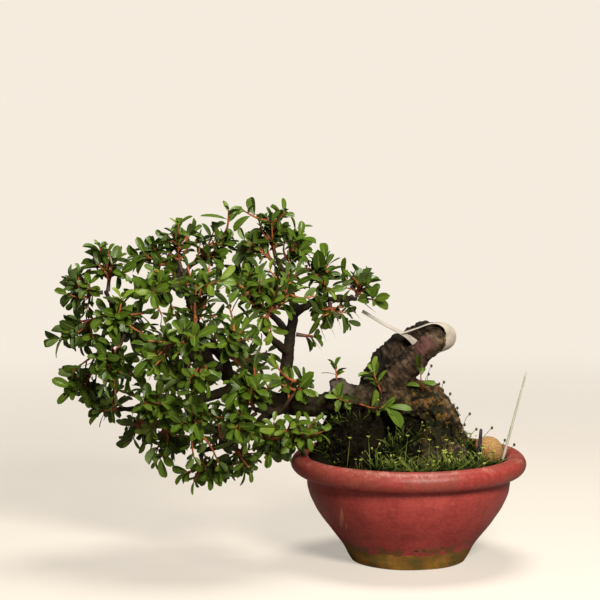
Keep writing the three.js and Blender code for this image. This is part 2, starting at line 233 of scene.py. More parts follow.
def turned(name, profile, turns, uneven=0.0):
    """A mesh turned about Z from [radius, height] points that start and end on the axis."""
    verts = [(0, 0, profile[0][1])]
    for radius, height in profile[1:-1]:
        for step in range(turns):
            angle = 2 * math.pi * step / turns
            c, s = math.cos(angle), math.sin(angle)
            r = radius + uneven * noise.noise(Vector((2 * c, 2 * s, height / (9 * MM))))
            verts.append((r * c, r * s, height))
    verts.append((0, 0, profile[-1][1]))
    return tube_mesh(name, verts, turns)


# The pot's wall as [radius, height] in millimetres: outside from the foot up, inside from the rim down.
POT_WALL = [
    (52.0, 1.6), (54.3, 5.5), (57, 10.5), (64, 21.5), (75.5, 36), (84.5, 50), (90, 64), (91.4, 76.8),
]
RIM_MIDDLE, RIM_TUBE = (96, 87), 9
POT_INSIDE = [(84.6, 77.5), (82.5, 65), (77, 51), (68, 37), (56.5, 22.5), (49.5, 11.5)]
DRAIN_CIRCLE, DRAIN_RADIUS, DRILL_LENGTH = 24 * MM, 7 * MM, 50 * MM
GLAZE_LINE = 14.5 * MM

rim = [
    (RIM_MIDDLE[0] + RIM_TUBE * math.cos(a), RIM_MIDDLE[1] + RIM_TUBE * math.sin(a))
    for a in np.radians(np.arange(-125, 181, 9))
]
outline = [(0, 0), (49.5, 0), (51.3, 0.4), *smooth_line(POT_WALL, 6)]
outline += [*rim, *smooth_line(POT_INSIDE, 5), (46, 9.2), (40, 9), (0, 9)]
pot_mesh = turned("pot body", np.array(outline) * MM, 192, uneven=0.7 * MM)
bm = bmesh.new()
for i in range(3):
    angle = math.radians(90 + 120 * i)
    middle = Matrix.Translation((DRAIN_CIRCLE * math.cos(angle), DRAIN_CIRCLE * math.sin(angle), 0))
    size = {"radius1": DRAIN_RADIUS, "radius2": DRAIN_RADIUS, "depth": DRILL_LENGTH}
    bmesh.ops.create_cone(bm, cap_ends=True, segments=40, matrix=middle, **size)
drill_mesh = mesh_from(bm, "drill")
drill = bpy.data.objects.new("drill", drill_mesh)
scene.collection.objects.link(drill)


def drilled(carrier):
    cut = carrier.modifiers.new("holes", "BOOLEAN")
    cut.object = drill
    cut.solver = "EXACT"


pot_mesh = evaluated("pot body", pot_mesh, drilled)
pot_mesh.set_sharp_from_angle(angle=math.radians(40))
bpy.data.objects.remove(drill)


def new_tree(kind, name, inputs, outputs):
    """An empty node group with the given sockets. Returns it, its input sockets and its output node."""
    group = bpy.data.node_groups.new(name, kind)
    for sockets, way in ((inputs, "INPUT"), (outputs, "OUTPUT")):
        for label, sort in sockets.items():
            group.interface.new_socket(label, in_out=way, socket_type="NodeSocket" + sort)
    return group, node("NodeGroupInput", tree=group).outputs, node("NodeGroupOutput", tree=group)


# Soft patches and fine grain, which every old or natural surface here has in its own sizes.
WEATHERING, given, taken = new_tree(
    "ShaderNodeTree",
    "weathering",
    {"Vector": "Vector", "Patch Size": "Float", "Grain Size": "Float"},
    {"Patches": "Float", "Grain": "Float", "Height": "Float"},
)
for output, size, detail in (("Patches", "Patch Size", 4.0), ("Grain", "Grain Size", 6.0)):
    scale = node("ShaderNodeMath", {0: 1.0, 1: given[size]}, operation="DIVIDE").outputs[0]
    sockets = {"Vector": given["Vector"], "Scale": scale, "Detail": detail, "Roughness": 0.62}
    cloud = node("ShaderNodeTexNoise", sockets).outputs["Fac"]
    link(rise(cloud, 0.34, 0.66), taken.inputs[output])
    if output == "Grain":
        link(cloud, taken.inputs["Height"])

# A spot with a ragged edge round a given place, for stains, wounds and runs.
SPOT, given, taken = new_tree(
    "ShaderNodeTree",
    "spot",
    {"Vector": "Vector", "Centre": "Vector", "Reach": "Vector", "Ragged Size": "Float"},
    {"Mask": "Float"},
)
offset = node("ShaderNodeVectorMath", {0: given["Vector"], 1: given["Centre"]}, operation="SUBTRACT")
shrunk = node("ShaderNodeVectorMath", {0: offset.outputs[0], 1: given["Reach"]}, operation="DIVIDE")
distance = node("ShaderNodeVectorMath", {0: shrunk.outputs[0]}, operation="LENGTH").outputs["Value"]
scale = node("ShaderNodeMath", {0: 1.0, 1: given["Ragged Size"]}, operation="DIVIDE").outputs[0]
sockets = {"Vector": given["Vector"], "Scale": scale, "Detail": 3.0}
ragged = node("ShaderNodeTexNoise", sockets).outputs["Fac"]
edge = node("ShaderNodeMath", {0: distance, 1: ragged}, operation="ADD").outputs[0]
link(rise(edge, 1.5, 1.1), taken.inputs["Mask"])


def weathering(place, patch, grain):
    sockets = {"Vector": place, "Patch Size": patch, "Grain Size": grain}
    return node("ShaderNodeGroup", sockets, node_tree=WEATHERING).outputs


def spot(place, centre, reach, ragged):
    """A mask for a spot. Its centre, its reach along each axis and its raggedness are in millimetres."""
    sockets = {"Centre": Vector(centre) * MM, "Reach": Vector(reach) * MM, "Ragged Size": ragged * MM}
    return node("ShaderNodeGroup", {"Vector": place, **sockets}, node_tree=SPOT).outputs["Mask"]


def stretched(place, scale):
    """The coordinates drawn out, so that a pattern in them runs along one way."""
    return node("ShaderNodeMapping", {"Vector": place, "Scale": scale}).outputs["Vector"]


def scaled(value, factor, addend=0.0):
    sockets = {0: value, 1: factor, 2: addend}
    return node("ShaderNodeMath", sockets, operation="MULTIPLY_ADD").outputs[0]


def product(a, b):
    return node("ShaderNodeMath", {0: a, 1: b}, operation="MULTIPLY").outputs[0]


def coated(skin, *coats):
    """The skin with coats laid over it. Each is a mask, how dense it is at its densest, and its colour."""
    for mask, share, tint in coats:
        skin = mix(scaled(mask, share), skin, tint)
    return skin


def paint(shader, skin, height=None, depth=0.0, strength=1.0):
    """Gives the shader its colour, and a relief where there is one."""
    link(skin, shader.inputs["Base Color"])
    if height:
        sockets = {"Strength": strength, "Distance": depth, "Height": height}
        link(node("ShaderNodeBump", sockets).outputs["Normal"], shader.inputs["Normal"])


DRIPS = [  # where paler glaze has run down, and how far it reaches
    ((-61, -62, 46), (2.2, 30, 13)), ((-57, -66, 40), (1.2, 30, 6)), ((-47, -78, 93), (9, 12, 2)),
]
PITS = [  # where the glaze has crawled off the clay just above the foot, and how far
    ((4, -59, 20), (3.0, 9, 1.6)), ((11, -58, 20.5), (2.0, 9, 2.0)), ((27, -55, 22), (2.5, 9, 1.2)),
]
glaze, shader, place = new_finish("red-brown glaze", specular=0.34)
height = node("ShaderNodeSeparateXYZ", {0: place}).outputs["Z"]
broad = weathering(place, 28 * MM, 1.6 * MM)
runs = weathering(stretched(place, (1, 1, 0.14)), 9 * MM, 2.4 * MM)
specks = weathering(place, 3.2 * MM, 0.7 * MM)
damp = weathering(place, 12 * MM, 1.1 * MM)
rim_top = product(rise(height, 89 * MM, 97 * MM), runs["Grain"])
rubbed = product(rise(height, 72 * MM, 84 * MM), rise(broad["Patches"], 0.45, 0.8))
chipped = product(rise(height, 88 * MM, 94 * MM), rise(runs["Patches"], 0.74, 0.84))
chipped = product(chipped, rise(specks["Grain"], 0.45, 0.7))
stained = product(rise(height, 26 * MM, 18 * MM), rise(damp["Patches"], 0.3, 0.6))
skin = coated(
    mix(broad["Patches"], (0.275, 0.036, 0.030), (0.375, 0.054, 0.046)),
    (runs["Patches"], 0.35, (0.47, 0.060, 0.045)),
    (broad["Grain"], 0.22, (0.15, 0.015, 0.012)),
    (rim_top, 0.30, (0.30, 0.075, 0.045)),
    (rubbed, 0.55, (0.20, 0.055, 0.034)),
    (rise(specks["Patches"], 0.62, 0.85), 0.14, (0.50, 0.13, 0.10)),
    (rise(specks["Patches"], 0.36, 0.18), 0.16, (0.14, 0.020, 0.016)),
    (chipped, 0.5, (0.60, 0.33, 0.25)),
    *((spot(place, centre, reach, 5), 0.6, (0.60, 0.24, 0.14)) for centre, reach in DRIPS),
    *((spot(place, centre, reach, 2), 1, (0.035, 0.014, 0.010)) for centre, reach in PITS),
    (stained, 0.85, (0.125, 0.072, 0.018)),
)
clay = coated(
    mix(broad["Patches"], (0.36, 0.165, 0.020), (0.19, 0.085, 0.014)),
    (damp["Patches"], 0.7, (0.085, 0.088, 0.014)),
)
wander = scaled(runs["Patches"], 2.5 * MM, GLAZE_LINE - 1.2 * MM)
below = node("ShaderNodeMath", {0: wander, 1: height}, operation="SUBTRACT").outputs[0]
bare = rise(below, -0.4 * MM, 0.5 * MM)
link(scaled(bare, 0.45, scaled(runs["Grain"], 0.10, 0.34)), shader.inputs["Roughness"])
paint(shader, mix(bare, skin, clay), broad["Height"], 0.7 * MM, 0.5)
new_piece("thrown_pot", pot_mesh, glaze, "glaze", "pot")


# ---- Drainage mesh -------------------------------------------------------------------------------------
# A round of green plastic netting that lies on the pot's floor and keeps the soil from washing out.
def grown(name, mesh, tree, inputs):
    """Runs a Geometry Nodes tree on a mesh and returns the plain mesh that comes out."""
    sockets = {item.name: item.identifier for item in tree.interface.items_tree if item.in_out == "INPUT"}

    def add_growth(carrier):
        growth = carrier.modifiers.new("growth", "NODES")
        growth.node_group = tree
        for label, value in inputs.items():
            growth[sockets[label]] = value

    return evaluated(name, mesh, add_growth)


NET_RADIUS, NET_MESH, STRAND, NET_HEIGHT = 38 * MM, 3 * MM, 0.45 * MM, 9.85 * MM

netting, shader, place = new_finish("green netting", 0.55)
dusty = weathering(place, 10 * MM, 1 * MM)
skin = mix(dusty["Patches"], (0.02, 0.06, 0.035), (0.045, 0.09, 0.05))
paint(shader, skin)

NET, given, taken = new_tree(
    "GeometryNodeTree",
    "netting",
    {"Geometry": "Geometry", "Strand": "Float", "Material": "Material"},
    {"Geometry": "Geometry"},
)
strands = node("GeometryNodeMeshToCurve", {"Mesh": given["Geometry"]}).outputs["Curve"]
section = node("GeometryNodeCurvePrimitiveCircle", {"Resolution": 6, "Radius": given["Strand"]})
sockets = {"Curve": strands, "Profile Curve": section.outputs["Curve"], "Fill Caps": True}
tube = node("GeometryNodeCurveToMesh", sockets).outputs["Mesh"]
whole = node("GeometryNodeRealizeInstances", {"Geometry": tube}).outputs["Geometry"]
painted = node("GeometryNodeSetMaterial", {"Geometry": whole, "Material": given["Material"]})
link(painted.outputs["Geometry"], taken.inputs["Geometry"])

lines = int(NET_RADIUS / NET_MESH)
verts, edges = [], []
for i in range(-lines, lines + 1):
    across = i * NET_MESH
    half = math.sqrt(NET_RADIUS**2 - across**2)
    for ends in (((across, -half), (across, half)), ((-half, across), (half, across))):
        edges.append((len(verts), len(verts) + 1))
        verts += [(x, y, NET_HEIGHT) for x, y in ends]
net_plan = bpy.data.meshes.new("net plan")
net_plan.from_pydata(verts, edges, [])
net_mesh = grown("net", net_plan, NET, {"Strand": STRAND, "Material": netting})
new_piece("drain_netting", net_mesh, None, "mesh_plastic", "drainage_mesh")

# ---- Soil ----------------------------------------------------------------------------------------------
# Dark, wet potting earth that fills the pot and is heaped steeply over the roots. Crumbs and fine roots
# make its face rough, and thin moss darkens the heap's shaded sides.
SOIL_LEVEL, SOIL_BOTTOM, EARTH_VOXEL = 89.5, 10.7, 1.4 * MM
MOUNDS = [
    ((-44, 0, 90), (39, 44, 60)),
    ((-38, 2, 89), (47, 50, 45)),
    ((-63, 2, 88), (22, 38, 24)),
    ((-73, 0, 88), (16, 36, 18)),
    ((-78, 0, 88), (13, 36, 14)),
    ((-4, 6, 87), (54, 44, 58)),
    ((28, 4, 85), (46, 44, 28)),
]


def one_skin(name, mesh, voxel, smoothing):
    """A single even skin over all the closed shells in the mesh."""

    def add_skin(carrier):
        remesh = carrier.modifiers.new("skin", "REMESH")
        remesh.mode = "VOXEL"
        remesh.voxel_size = voxel
        smooth = carrier.modifiers.new("smooth", "SMOOTH")
        smooth.factor = 0.5
        smooth.iterations = smoothing

    return evaluated(name, mesh, add_skin)


def swollen(mesh, height):
    """Moves each point of the mesh out by height(place, normal). `ridge` keeps that in millimetres."""
    co = np.empty(len(mesh.vertices) * 3, np.float32)
    mesh.vertices.foreach_get("co", co)
    normals = np.empty(len(mesh.vertices) * 3, np.float32)
    mesh.vertex_normals.foreach_get("vector", normals)
    co, normals = co.reshape(-1, 3), normals.reshape(-1, 3)
    lift = [height(Vector(p), Vector(n)) for p, n in zip(co, normals)]
    co += normals * np.array(lift, np.float32)[:, None]
    mesh.vertices.foreach_set("co", co.ravel())
    mesh.shade_smooth()
    mesh.update()
    write_attribute(mesh, "ridge", np.array(lift) / MM)


def clouds(place, size, octaves=3):
    """Natural unevenness between about -1 and 1, with lumps of the given size."""
    return noise.fractal(place / size, 0.8, 2.1, octaves)


def steps(value, start, end):
    t = min(max((value - start) / (end - start), 0), 1)
    return t * t * (3 - 2 * t)


def write_attribute(mesh, name, values, kind="FLOAT", domain="POINT"):
    field = {"FLOAT": "value", "BOOLEAN": "value", "FLOAT_VECTOR": "vector"}[kind]
    attribute = mesh.attributes.new(name, kind, domain)
    attribute.data.foreach_set(field, np.array(values, bool if kind == "BOOLEAN" else np.float32).ravel())


inside = [(r - 0.6, h) for r, h in reversed(POT_INSIDE) if h < SOIL_LEVEL]
fill = [(0, SOIL_BOTTOM), (41, SOIL_BOTTOM), (47.5, 12.4), *smooth_line(inside, 3)]
fill += [(85.6, SOIL_LEVEL), (0, SOIL_LEVEL + 2)]
bm = bmesh.new()
bm.from_mesh(turned("fill", np.array(fill) * MM, 96))
for middle, radii in MOUNDS:
    shape = Matrix.Translation(Vector(middle) * MM) @ Matrix.Diagonal((*(Vector(radii) * MM), 1))
    bmesh.ops.create_icosphere(bm, subdivisions=4, radius=1, matrix=shape)
soil_plan = mesh_from(bm, "soil plan")
soil_mesh = one_skin("soil", soil_plan, EARTH_VOXEL, 4)


def crumbs(place, facing):
    if place.z < 84 * MM:
        return 0.0
    radius = math.hypot(place.x, place.y)
    free = 1 - steps(radius, 78 * MM, 84 * MM)
    lumps = clouds(place, 12 * MM) * 2.4 + clouds(place, 3.6 * MM, 2) * 1.7 - 0.7
    fibres = clouds(Vector((place.x, place.y, place.z * 0.3)), 2.5 * MM, 2) * 1.0
    return free * (lumps + fibres) * MM


swollen(soil_mesh, crumbs)
places = np.array([v.co for v in soil_mesh.vertices])
facing = np.array([n.vector for n in soil_mesh.vertex_normals])
top = (places[:, 2] > 88 * MM) & (np.hypot(places[:, 0], places[:, 1]) < 84 * MM)
left_edge = 1 + 2.5 * np.array([steps(-p[0], 52 * MM, 74 * MM) for p in places])
level = np.clip(0.45 + 0.55 * facing[:, 2], 0.12, 1)
write_attribute(soil_mesh, "cover", top * level * left_edge)


def attribute(shader, name):
    """A number that the mesh carries, for the use of the shader."""
    return node("ShaderNodeAttribute", tree=shader.id_data, attribute_name=name).outputs["Fac"]


earth, shader, place = new_finish("wet earth", 0.95, specular=0.04)
crumbly = weathering(place, 14 * MM, 1.3 * MM)
fibre = weathering(stretched(place, (1, 1, 0.18)), 4 * MM, 0.9 * MM)
skin = coated(
    mix(crumbly["Grain"], (0.0015, 0.0012, 0.0008), (0.014, 0.010, 0.006)),
    (crumbly["Patches"], 0.30, (0.010, 0.014, 0.003)),
    # Painted shade: the earth is painted near black where its face is sunk in.
    (rise(attribute(shader, "ridge"), 0.5, -2.5), 1, (0.0012, 0.0010, 0.0008)),
    (product(fibre["Patches"], fibre["Grain"]), 0.30, (0.040, 0.024, 0.012)),
)
paint(shader, skin, crumbly["Height"], 1.6 * MM, 1.0)
new_piece("heaped_soil", soil_mesh, earth, "soil", "soil")

# ---- Moss and small weeds ------------------------------------------------------------------------------
# A cushion of moss at the near right of the heap. Short tufts, long thin blades of grass and spore
# capsules on hair-thin stalks grow out of it, and a few stray over the soil.
MOSS_VOXEL = 1.2 * MM


def merged_copy(node_name):
    """A bmesh of a CAD node with its loose triangles joined up."""
    bm = bmesh.new()
    bm.from_mesh(frame["nodes"][node_name].data)
    bmesh.ops.remove_doubles(bm, verts=bm.verts, dist=0.005 * MM)
    return bm


bm = merged_copy("moss_carpet")
moss_plan = mesh_from(bm, "moss plan")
moss_mesh = one_skin("moss", moss_plan, MOSS_VOXEL, 3)


def cushions(place, facing):
    return (clouds(place, 7 * MM) * 2.6 + clouds(place, 2.4 * MM, 2) * 0.9 - 1.2) * MM


swollen(moss_mesh, cushions)
level = [0.35 + 0.65 * max(n.vector.z, 0) for n in moss_mesh.vertex_normals]
write_attribute(moss_mesh, "cover", level)

moss_finish, shader, place = new_finish("moss", 0.95, specular=0.05)
soft = weathering(place, 9 * MM, 1 * MM)
skin = coated(
    mix(soft["Grain"], (0.003, 0.004, 0.001), (0.016, 0.024, 0.004)),
    (soft["Patches"], 0.35, (0.030, 0.026, 0.010)),
    # Painted shade: the moss is painted darker where its face is sunk in.
    (rise(attribute(shader, "ridge"), 0.3, -1.6), 1, (0.002, 0.003, 0.001)),
)
paint(shader, skin, soft["Height"], 1.0 * MM, 0.9)
new_piece("moss_cushion", moss_mesh, moss_finish, "moss", "moss_carpet")


def blade_of(bm, start, way, length, girth, droop):
    """A three-sided blade or stalk that tapers to a point and bends over towards its tip."""
    side = way.cross(Vector((0.3, 0.5, 1))).normalized()
    rings = []
    for t in (0, 0.35, 0.7):
        centre = start + way * length * t + Vector((way.x, way.y, -0.5)) * droop * t * t * length
        size = girth * (1 - 0.55 * t)
        turn = [Matrix.Rotation(math.radians(120 * k), 3, way) @ side for k in range(3)]
        rings.append([bm.verts.new(centre + arm * size) for arm in turn])
    tip = bm.verts.new(start + way * length + Vector((way.x, way.y, -0.5)) * droop * length)
    bm.faces.new(rings[0][::-1])
    for low, high in zip(rings, rings[1:]):
        for k in range(3):
            bm.faces.new((low[k], low[(k + 1) % 3], high[(k + 1) % 3], high[k]))
    for k in range(3):
        bm.faces.new((rings[-1][k], rings[-1][(k + 1) % 3], tip))
    return tip.co.copy()


def plant(name, blades, spread, girth, droop, seed, capsule=0.0, star=0):
    """A little plant of blades, one unit tall, each with a capsule or a star of leaves at its tip."""
    rnd = random.Random(seed)
    bm = bmesh.new()
    for _ in range(blades):
        lean, turn = spread * rnd.random() ** 0.6, rnd.uniform(0, 2 * math.pi)
        way = Vector((math.sin(lean) * math.cos(turn), math.sin(lean) * math.sin(turn), math.cos(lean)))
        start = Vector((way.x, way.y, -0.3)) * 0.15
        tip = blade_of(bm, start, way, rnd.uniform(0.55, 1), girth, droop * rnd.random())
        if capsule:
            shape = Matrix.Translation(tip) @ Matrix.Diagonal((capsule, capsule, capsule * 1.7, 1))
            bmesh.ops.create_icosphere(bm, subdivisions=1, radius=1, matrix=shape)
        for k in range(star):
            turn = 2 * math.pi * k / star
            out = Vector((math.cos(turn), math.sin(turn), 0.9)).normalized()
            blade_of(bm, tip - out * 0.02, out, 0.13, 0.03, 0.3)
    mesh = mesh_from(bm, name)
    mesh.shade_smooth()
    write_attribute(mesh, "rise", [v.co.z for v in mesh.vertices])
    made = bpy.data.objects.new(name, mesh)
    scene.collection.objects.link(made)
    return made


def named(tree, name, kind="FLOAT"):
    sockets = {"Name": name}
    return node("GeometryNodeInputNamedAttribute", sockets, tree=tree, data_type=kind).outputs["Attribute"]


SCATTER, given, taken = new_tree(
    "GeometryNodeTree",
    "scatter",
    {
        "Geometry": "Geometry",
        "Plant": "Object",
        "Density": "Float",
        "Smallest": "Float",
        "Largest": "Float",
        "Seed": "Int",
        "Material": "Material",
    },
    {"Geometry": "Geometry"},
)
cover = named(SCATTER, "cover")
crowding = node("ShaderNodeMath", {0: cover, 1: given["Density"]}, operation="MULTIPLY").outputs[0]
sockets = {"Mesh": given["Geometry"], "Density": crowding, "Seed": given["Seed"]}
spread = node("GeometryNodeDistributePointsOnFaces", sockets, distribute_method="RANDOM").outputs
sockets = {0: spread["Normal"], 1: (0, -0.1, 0.9)}
lifted = node("ShaderNodeVectorMath", sockets, operation="ADD").outputs[0]
upright = node("FunctionNodeAlignRotationToVector", {"Vector": lifted}, axis="Z").outputs[0]
turn = node("FunctionNodeRandomValue", {3: 6.283, 8: given["Seed"]}, data_type="FLOAT").outputs[1]
spin = node("FunctionNodeAxisAngleToRotation", {"Axis": (0, 0, 1), "Angle": turn}).outputs[0]
sockets = {"Rotation": upright, "Rotate By": spin}
pose = node("FunctionNodeRotateRotation", sockets, rotation_space="LOCAL").outputs[0]
sockets = {2: given["Smallest"], 3: given["Largest"], 8: given["Seed"]}
size = node("FunctionNodeRandomValue", sockets, data_type="FLOAT").outputs[1]
sockets = {"Object": given["Plant"], "As Instance": True}
model = node("GeometryNodeObjectInfo", sockets).outputs["Geometry"]
sockets = {"Points": spread["Points"], "Instance": model, "Rotation": pose, "Scale": size}
copies = node("GeometryNodeInstanceOnPoints", sockets).outputs["Instances"]
tone = node("FunctionNodeRandomValue", {3: 1.0, 8: 7}, tree=SCATTER, data_type="FLOAT").outputs[1]
sockets = {"Geometry": copies, "Name": "tone", "Value": tone}
toned = node("GeometryNodeStoreNamedAttribute", sockets, data_type="FLOAT", domain="INSTANCE").outputs[0]
whole = node("GeometryNodeRealizeInstances", {"Geometry": toned}).outputs["Geometry"]
painted = node("GeometryNodeSetMaterial", {"Geometry": whole, "Material": given["Material"]})
link(painted.outputs["Geometry"], taken.inputs["Geometry"])


def plant_finish(name, foot, low, high):
    """Goes from the foot's colour up to one that lies between low and high, plant by plant."""
    material, shader, _ = new_finish(name, 0.6, specular=0.12)
    ripe = mix(attribute(shader, "tone"), low, high)
    paint(shader, mix(rise(attribute(shader, "rise"), 0.05, 0.7), foot, ripe))
    return material


tuft = plant("tuft", 6, 1.1, 0.07, 0.25, 1)
grass = plant("grass", 4, 0.85, 0.026, 0.55, 2)
capsules = plant("capsules", 2, 0.45, 0.016, 0.15, 3, capsule=0.055)
stars = plant("stars", 2, 0.5, 0.02, 0.2, 6, star=5)
tuft_finish = plant_finish("moss tips", (0.002, 0.003, 0.001), (0.016, 0.030, 0.003), (0.10, 0.13, 0.012))
grass_finish = plant_finish("grass", (0.03, 0.05, 0.006), (0.10, 0.18, 0.015), (0.42, 0.47, 0.09))
capsule_finish = plant_finish("capsules", (0.10, 0.12, 0.02), (0.06, 0.09, 0.015), (0.48, 0.50, 0.12))


def sow(name, ground, model, per_square_metre, sizes, seed, material):
    inputs = {"Plant": model, "Density": per_square_metre, "Seed": seed, "Material": material}
    inputs.update({"Smallest": sizes[0] * MM, "Largest": sizes[1] * MM})
    new_piece(name, grown(name, ground.copy(), SCATTER, inputs), None, "moss")


sow("moss_tufts", moss_mesh, tuft, 40000.0, (2.0, 5.5), 11, tuft_finish)
sow("soil_tufts", soil_mesh, tuft, 20000.0, (1.6, 4.0), 12, tuft_finish)
sow("moss_grass", moss_mesh, grass, 15000.0, (7.0, 25.0), 13, grass_finish)
sow("soil_grass", soil_mesh, grass, 2600.0, (6.0, 15.0), 14, grass_finish)
sow("moss_capsules", moss_mesh, capsules, 3000.0, (12.0, 22.0), 15, capsule_finish)
sow("soil_capsules", soil_mesh, capsules, 1200.0, (10.0, 18.0), 16, capsule_finish)
sow("moss_stars", moss_mesh, stars, 2000.0, (9.0, 28.0), 19, grass_finish)
sow("soil_stars", soil_mesh, stars, 700.0, (9.0, 20.0), 20, grass_finish)
for model in (tuft, grass, capsules, stars):
    bpy.data.objects.remove(model)

# The tallest stalks, each with a star of small leaves, stand before the dark heap.
TALL_STARS = [  # how far along the pot and how high each star is
    (-54, 120), (-38, 121), (-28, 106), (-22, 98), (-4, 122), (6, 108),
    (15, 118), (30, 117), (35, 115), (22, 111), (41, 104), (-44, 101),
]
STALK_FOOT, STAR_LEAVES = 87, 6
rnd = random.Random(8)
bm = bmesh.new()
for x, z in TALL_STARS:
    base = Vector((x + rnd.uniform(-5, 5), rnd.uniform(-66, -56), STALK_FOOT)) * MM
    tip = Vector((x, rnd.uniform(-66, -58), z)) * MM
    blade_of(bm, base, (tip - base).normalized(), (tip - base).length, 0.35 * MM, 0)
    for k in range(STAR_LEAVES):
        turn = 2 * math.pi * k / STAR_LEAVES
        out = Vector((math.cos(turn), math.sin(turn), 0.6)).normalized()
        blade_of(bm, tip - out * 0.3 * MM, out, 2.3 * MM, 0.55 * MM, 0)
star_mesh = mesh_from(bm, "tall stars")
heights = [(v.co.z / MM - STALK_FOOT) / 30 for v in star_mesh.vertices]
write_attribute(star_mesh, "rise", heights)
write_attribute(star_mesh, "tone", [0.8] * len(star_mesh.vertices))
new_piece("tall_stars", star_mesh, grass_finish, "moss")

# ---- Wood ----------------------------------------------------------------------------------------------
# Roots, trunk and branches, grown as one. The old trunk arches over the heap, doubles back on itself in a
# tight bend, and carries the crown on a long arm, which bears the grey stub of a limb sawn off long ago.
WOOD_VOXEL = 1.1 * MM
LIMB = Vector((0.76, 0, 0.65))  # the way that the doubled trunk rises
LIMB_TILT = math.radians(40.5)
BURLS = [  # where the wood swells, and how far round
    ((29, -17, 132), 12), ((12, -20, 143), 12), ((-10, -20, 147), 10), ((42, -12, 112), 10),
    ((38, -20, 97), 11), ((-32, -16, 148), 9), ((-58, -12, 148), 11), ((20, -24, 121), 10),
    ((23, -11, 197), 9.3), ((4, -19, 180), 10), ((-8, 14, 192), 10.5), ((16, 8, 203), 9),
    ((40, 2, 124), 9),
]
HOLLOWS = [  # where the wood is eaten away, how far round, and how deep
    ((6, -27, 124), 11, 6), ((20, -31, 129), 9, 6), ((34, -27, 121), 11, 6), ((15, -34, 111), 9, 6),
]
ARCH_HEIGHTS, ARCH_EDGE = (100, 108, 117, 124, 139, 144, 158, 166), (58, 51, 46, 44.5, 40, 35, 28, 27)
ROOT_CROWN = Vector((20, -2, 0)) * MM  # the axis from which the surface roots run down
SURFACE_ROOTS = 34


def rod(name, stations, sides, per_span=6):
    """A round rod along a smooth line through [x, y, z, radius], with rounded ends."""
    line = smooth_line(stations, per_span)
    ends = []
    for end, inner in ((line[0], line[1]), (line[-1], line[-2])):
        outwards = (end[:3] - inner[:3]) / np.linalg.norm(end[:3] - inner[:3])
        ends.append([*(end[:3] + outwards * end[3] * 0.5), end[3] * 0.55])
    line = np.vstack([ends[0], line, ends[1]])
    points = [Vector(p[:3]) for p in line]
    side = (points[1] - points[0]).orthogonal().normalized()
    verts = [points[0]]
    for k, centre in enumerate(points):
        ahead = (points[min(k + 1, len(points) - 1)] - points[max(k - 1, 0)]).normalized()
        side = (side - ahead * side.dot(ahead)).normalized()
        over = ahead.cross(side)
        for j in range(sides):
            angle = 2 * math.pi * j / sides
            verts.append(centre + (side * math.cos(angle) + over * math.sin(angle)) * line[k][3])
    verts.append(points[-1])
    return tube_mesh(name, verts, sides)


def finder(*node_names):
    """Finds the nearest place on some CAD nodes, or where a ray meets them."""
    points, corners = [], []
    for name in node_names:
        mesh = frame["nodes"][name].data
        corners += [[len(points) + i for i in p.vertices] for p in mesh.polygons]
        points += [v.co.copy() for v in mesh.vertices]
    return BVHTree.FromPolygons(points, corners)


def surface_root(number, ground, rnd):
    """A root that runs down over the wood and the heap, half sunk into them."""
    azimuth = math.radians(-112 + 190 * number / SURFACE_ROOTS + rnd.uniform(-4, 4))
    low, high = rnd.uniform(86, 94) * MM, rnd.uniform(118, 140) * MM
    girth = rnd.uniform(0.9, 2.0) * MM
    stations = []
    for k in range(7):
        t = k / 6
        azimuth += math.radians(rnd.uniform(-5, 5))
        out = Vector((math.cos(azimuth), math.sin(azimuth), 0))
        start = ROOT_CROWN + out * 0.12 + Vector((0, 0, high + (low - high) * t))
        hit = ground.ray_cast(start, -out)[0]
        if hit:
            stations.append((*(hit + out * girth * 0.15), girth * (1 - 0.45 * t)))
    return stations


wood_finder = finder("trunk")
strap_finder = finder("strap_label")
ground = finder("trunk", "soil")
bm = merged_copy("trunk")
for middle, radius in BURLS:
    shape = Matrix.Translation(Vector(middle) * MM)
    bmesh.ops.create_icosphere(bm, subdivisions=3, radius=radius * MM, matrix=shape)
rnd = random.Random(5)
for number in range(SURFACE_ROOTS):
    stations = surface_root(number, ground, rnd)
    if len(stations) > 3:
        root_mesh = rod("root", stations, 8, 3)
        bm.from_mesh(root_mesh)
        bpy.data.meshes.remove(root_mesh)
wood_plan = mesh_from(bm, "wood plan")
wood_mesh = one_skin("wood", wood_plan, WOOD_VOXEL, 5)


def bark_relief(place, facing):
    old = steps(place.x, -115 * MM, -62 * MM)
    bent_part = steps(place.z, 156 * MM, 168 * MM) * old
    along = place.dot(LIMB)
    rings = clouds(Vector((along, place.y * 0.25, (place.z - place.x) * 0.22)), 2.8 * MM, 2)
    lumps = clouds(place, 20 * MM) * 1.8 + clouds(place, 7 * MM, 2) * 2.4
    lumps += clouds(place, 2.5 * MM, 2) * 0.9
    smoothed = clouds(place, 15 * MM) * 1.6 + rings * 1.2 + clouds(place, 5 * MM, 2) * 1.1
    thick = lumps * (1 - bent_part) + smoothed * bent_part
    thin = clouds(place, 5 * MM, 2) * 0.5
    lift = thick * old + thin * (1 - old)
    room = steps(strap_finder.find_nearest(place)[3], 1.0 * MM, 5 * MM)
    sunk = 0
    for middle, reach, deep in HOLLOWS:
        sunk += deep * steps((place - Vector(middle) * MM).length, reach * MM, 0)
    if 100 * MM < place.z < 166 * MM:
        beyond = place.x / MM - np.interp(place.z / MM, ARCH_HEIGHTS, ARCH_EDGE)
        sunk += max(beyond, 0) * 1.2 * steps(facing.x, 0, 0.4)
    return (min(lift, 0) + max(lift, 0) * room - sunk) * MM


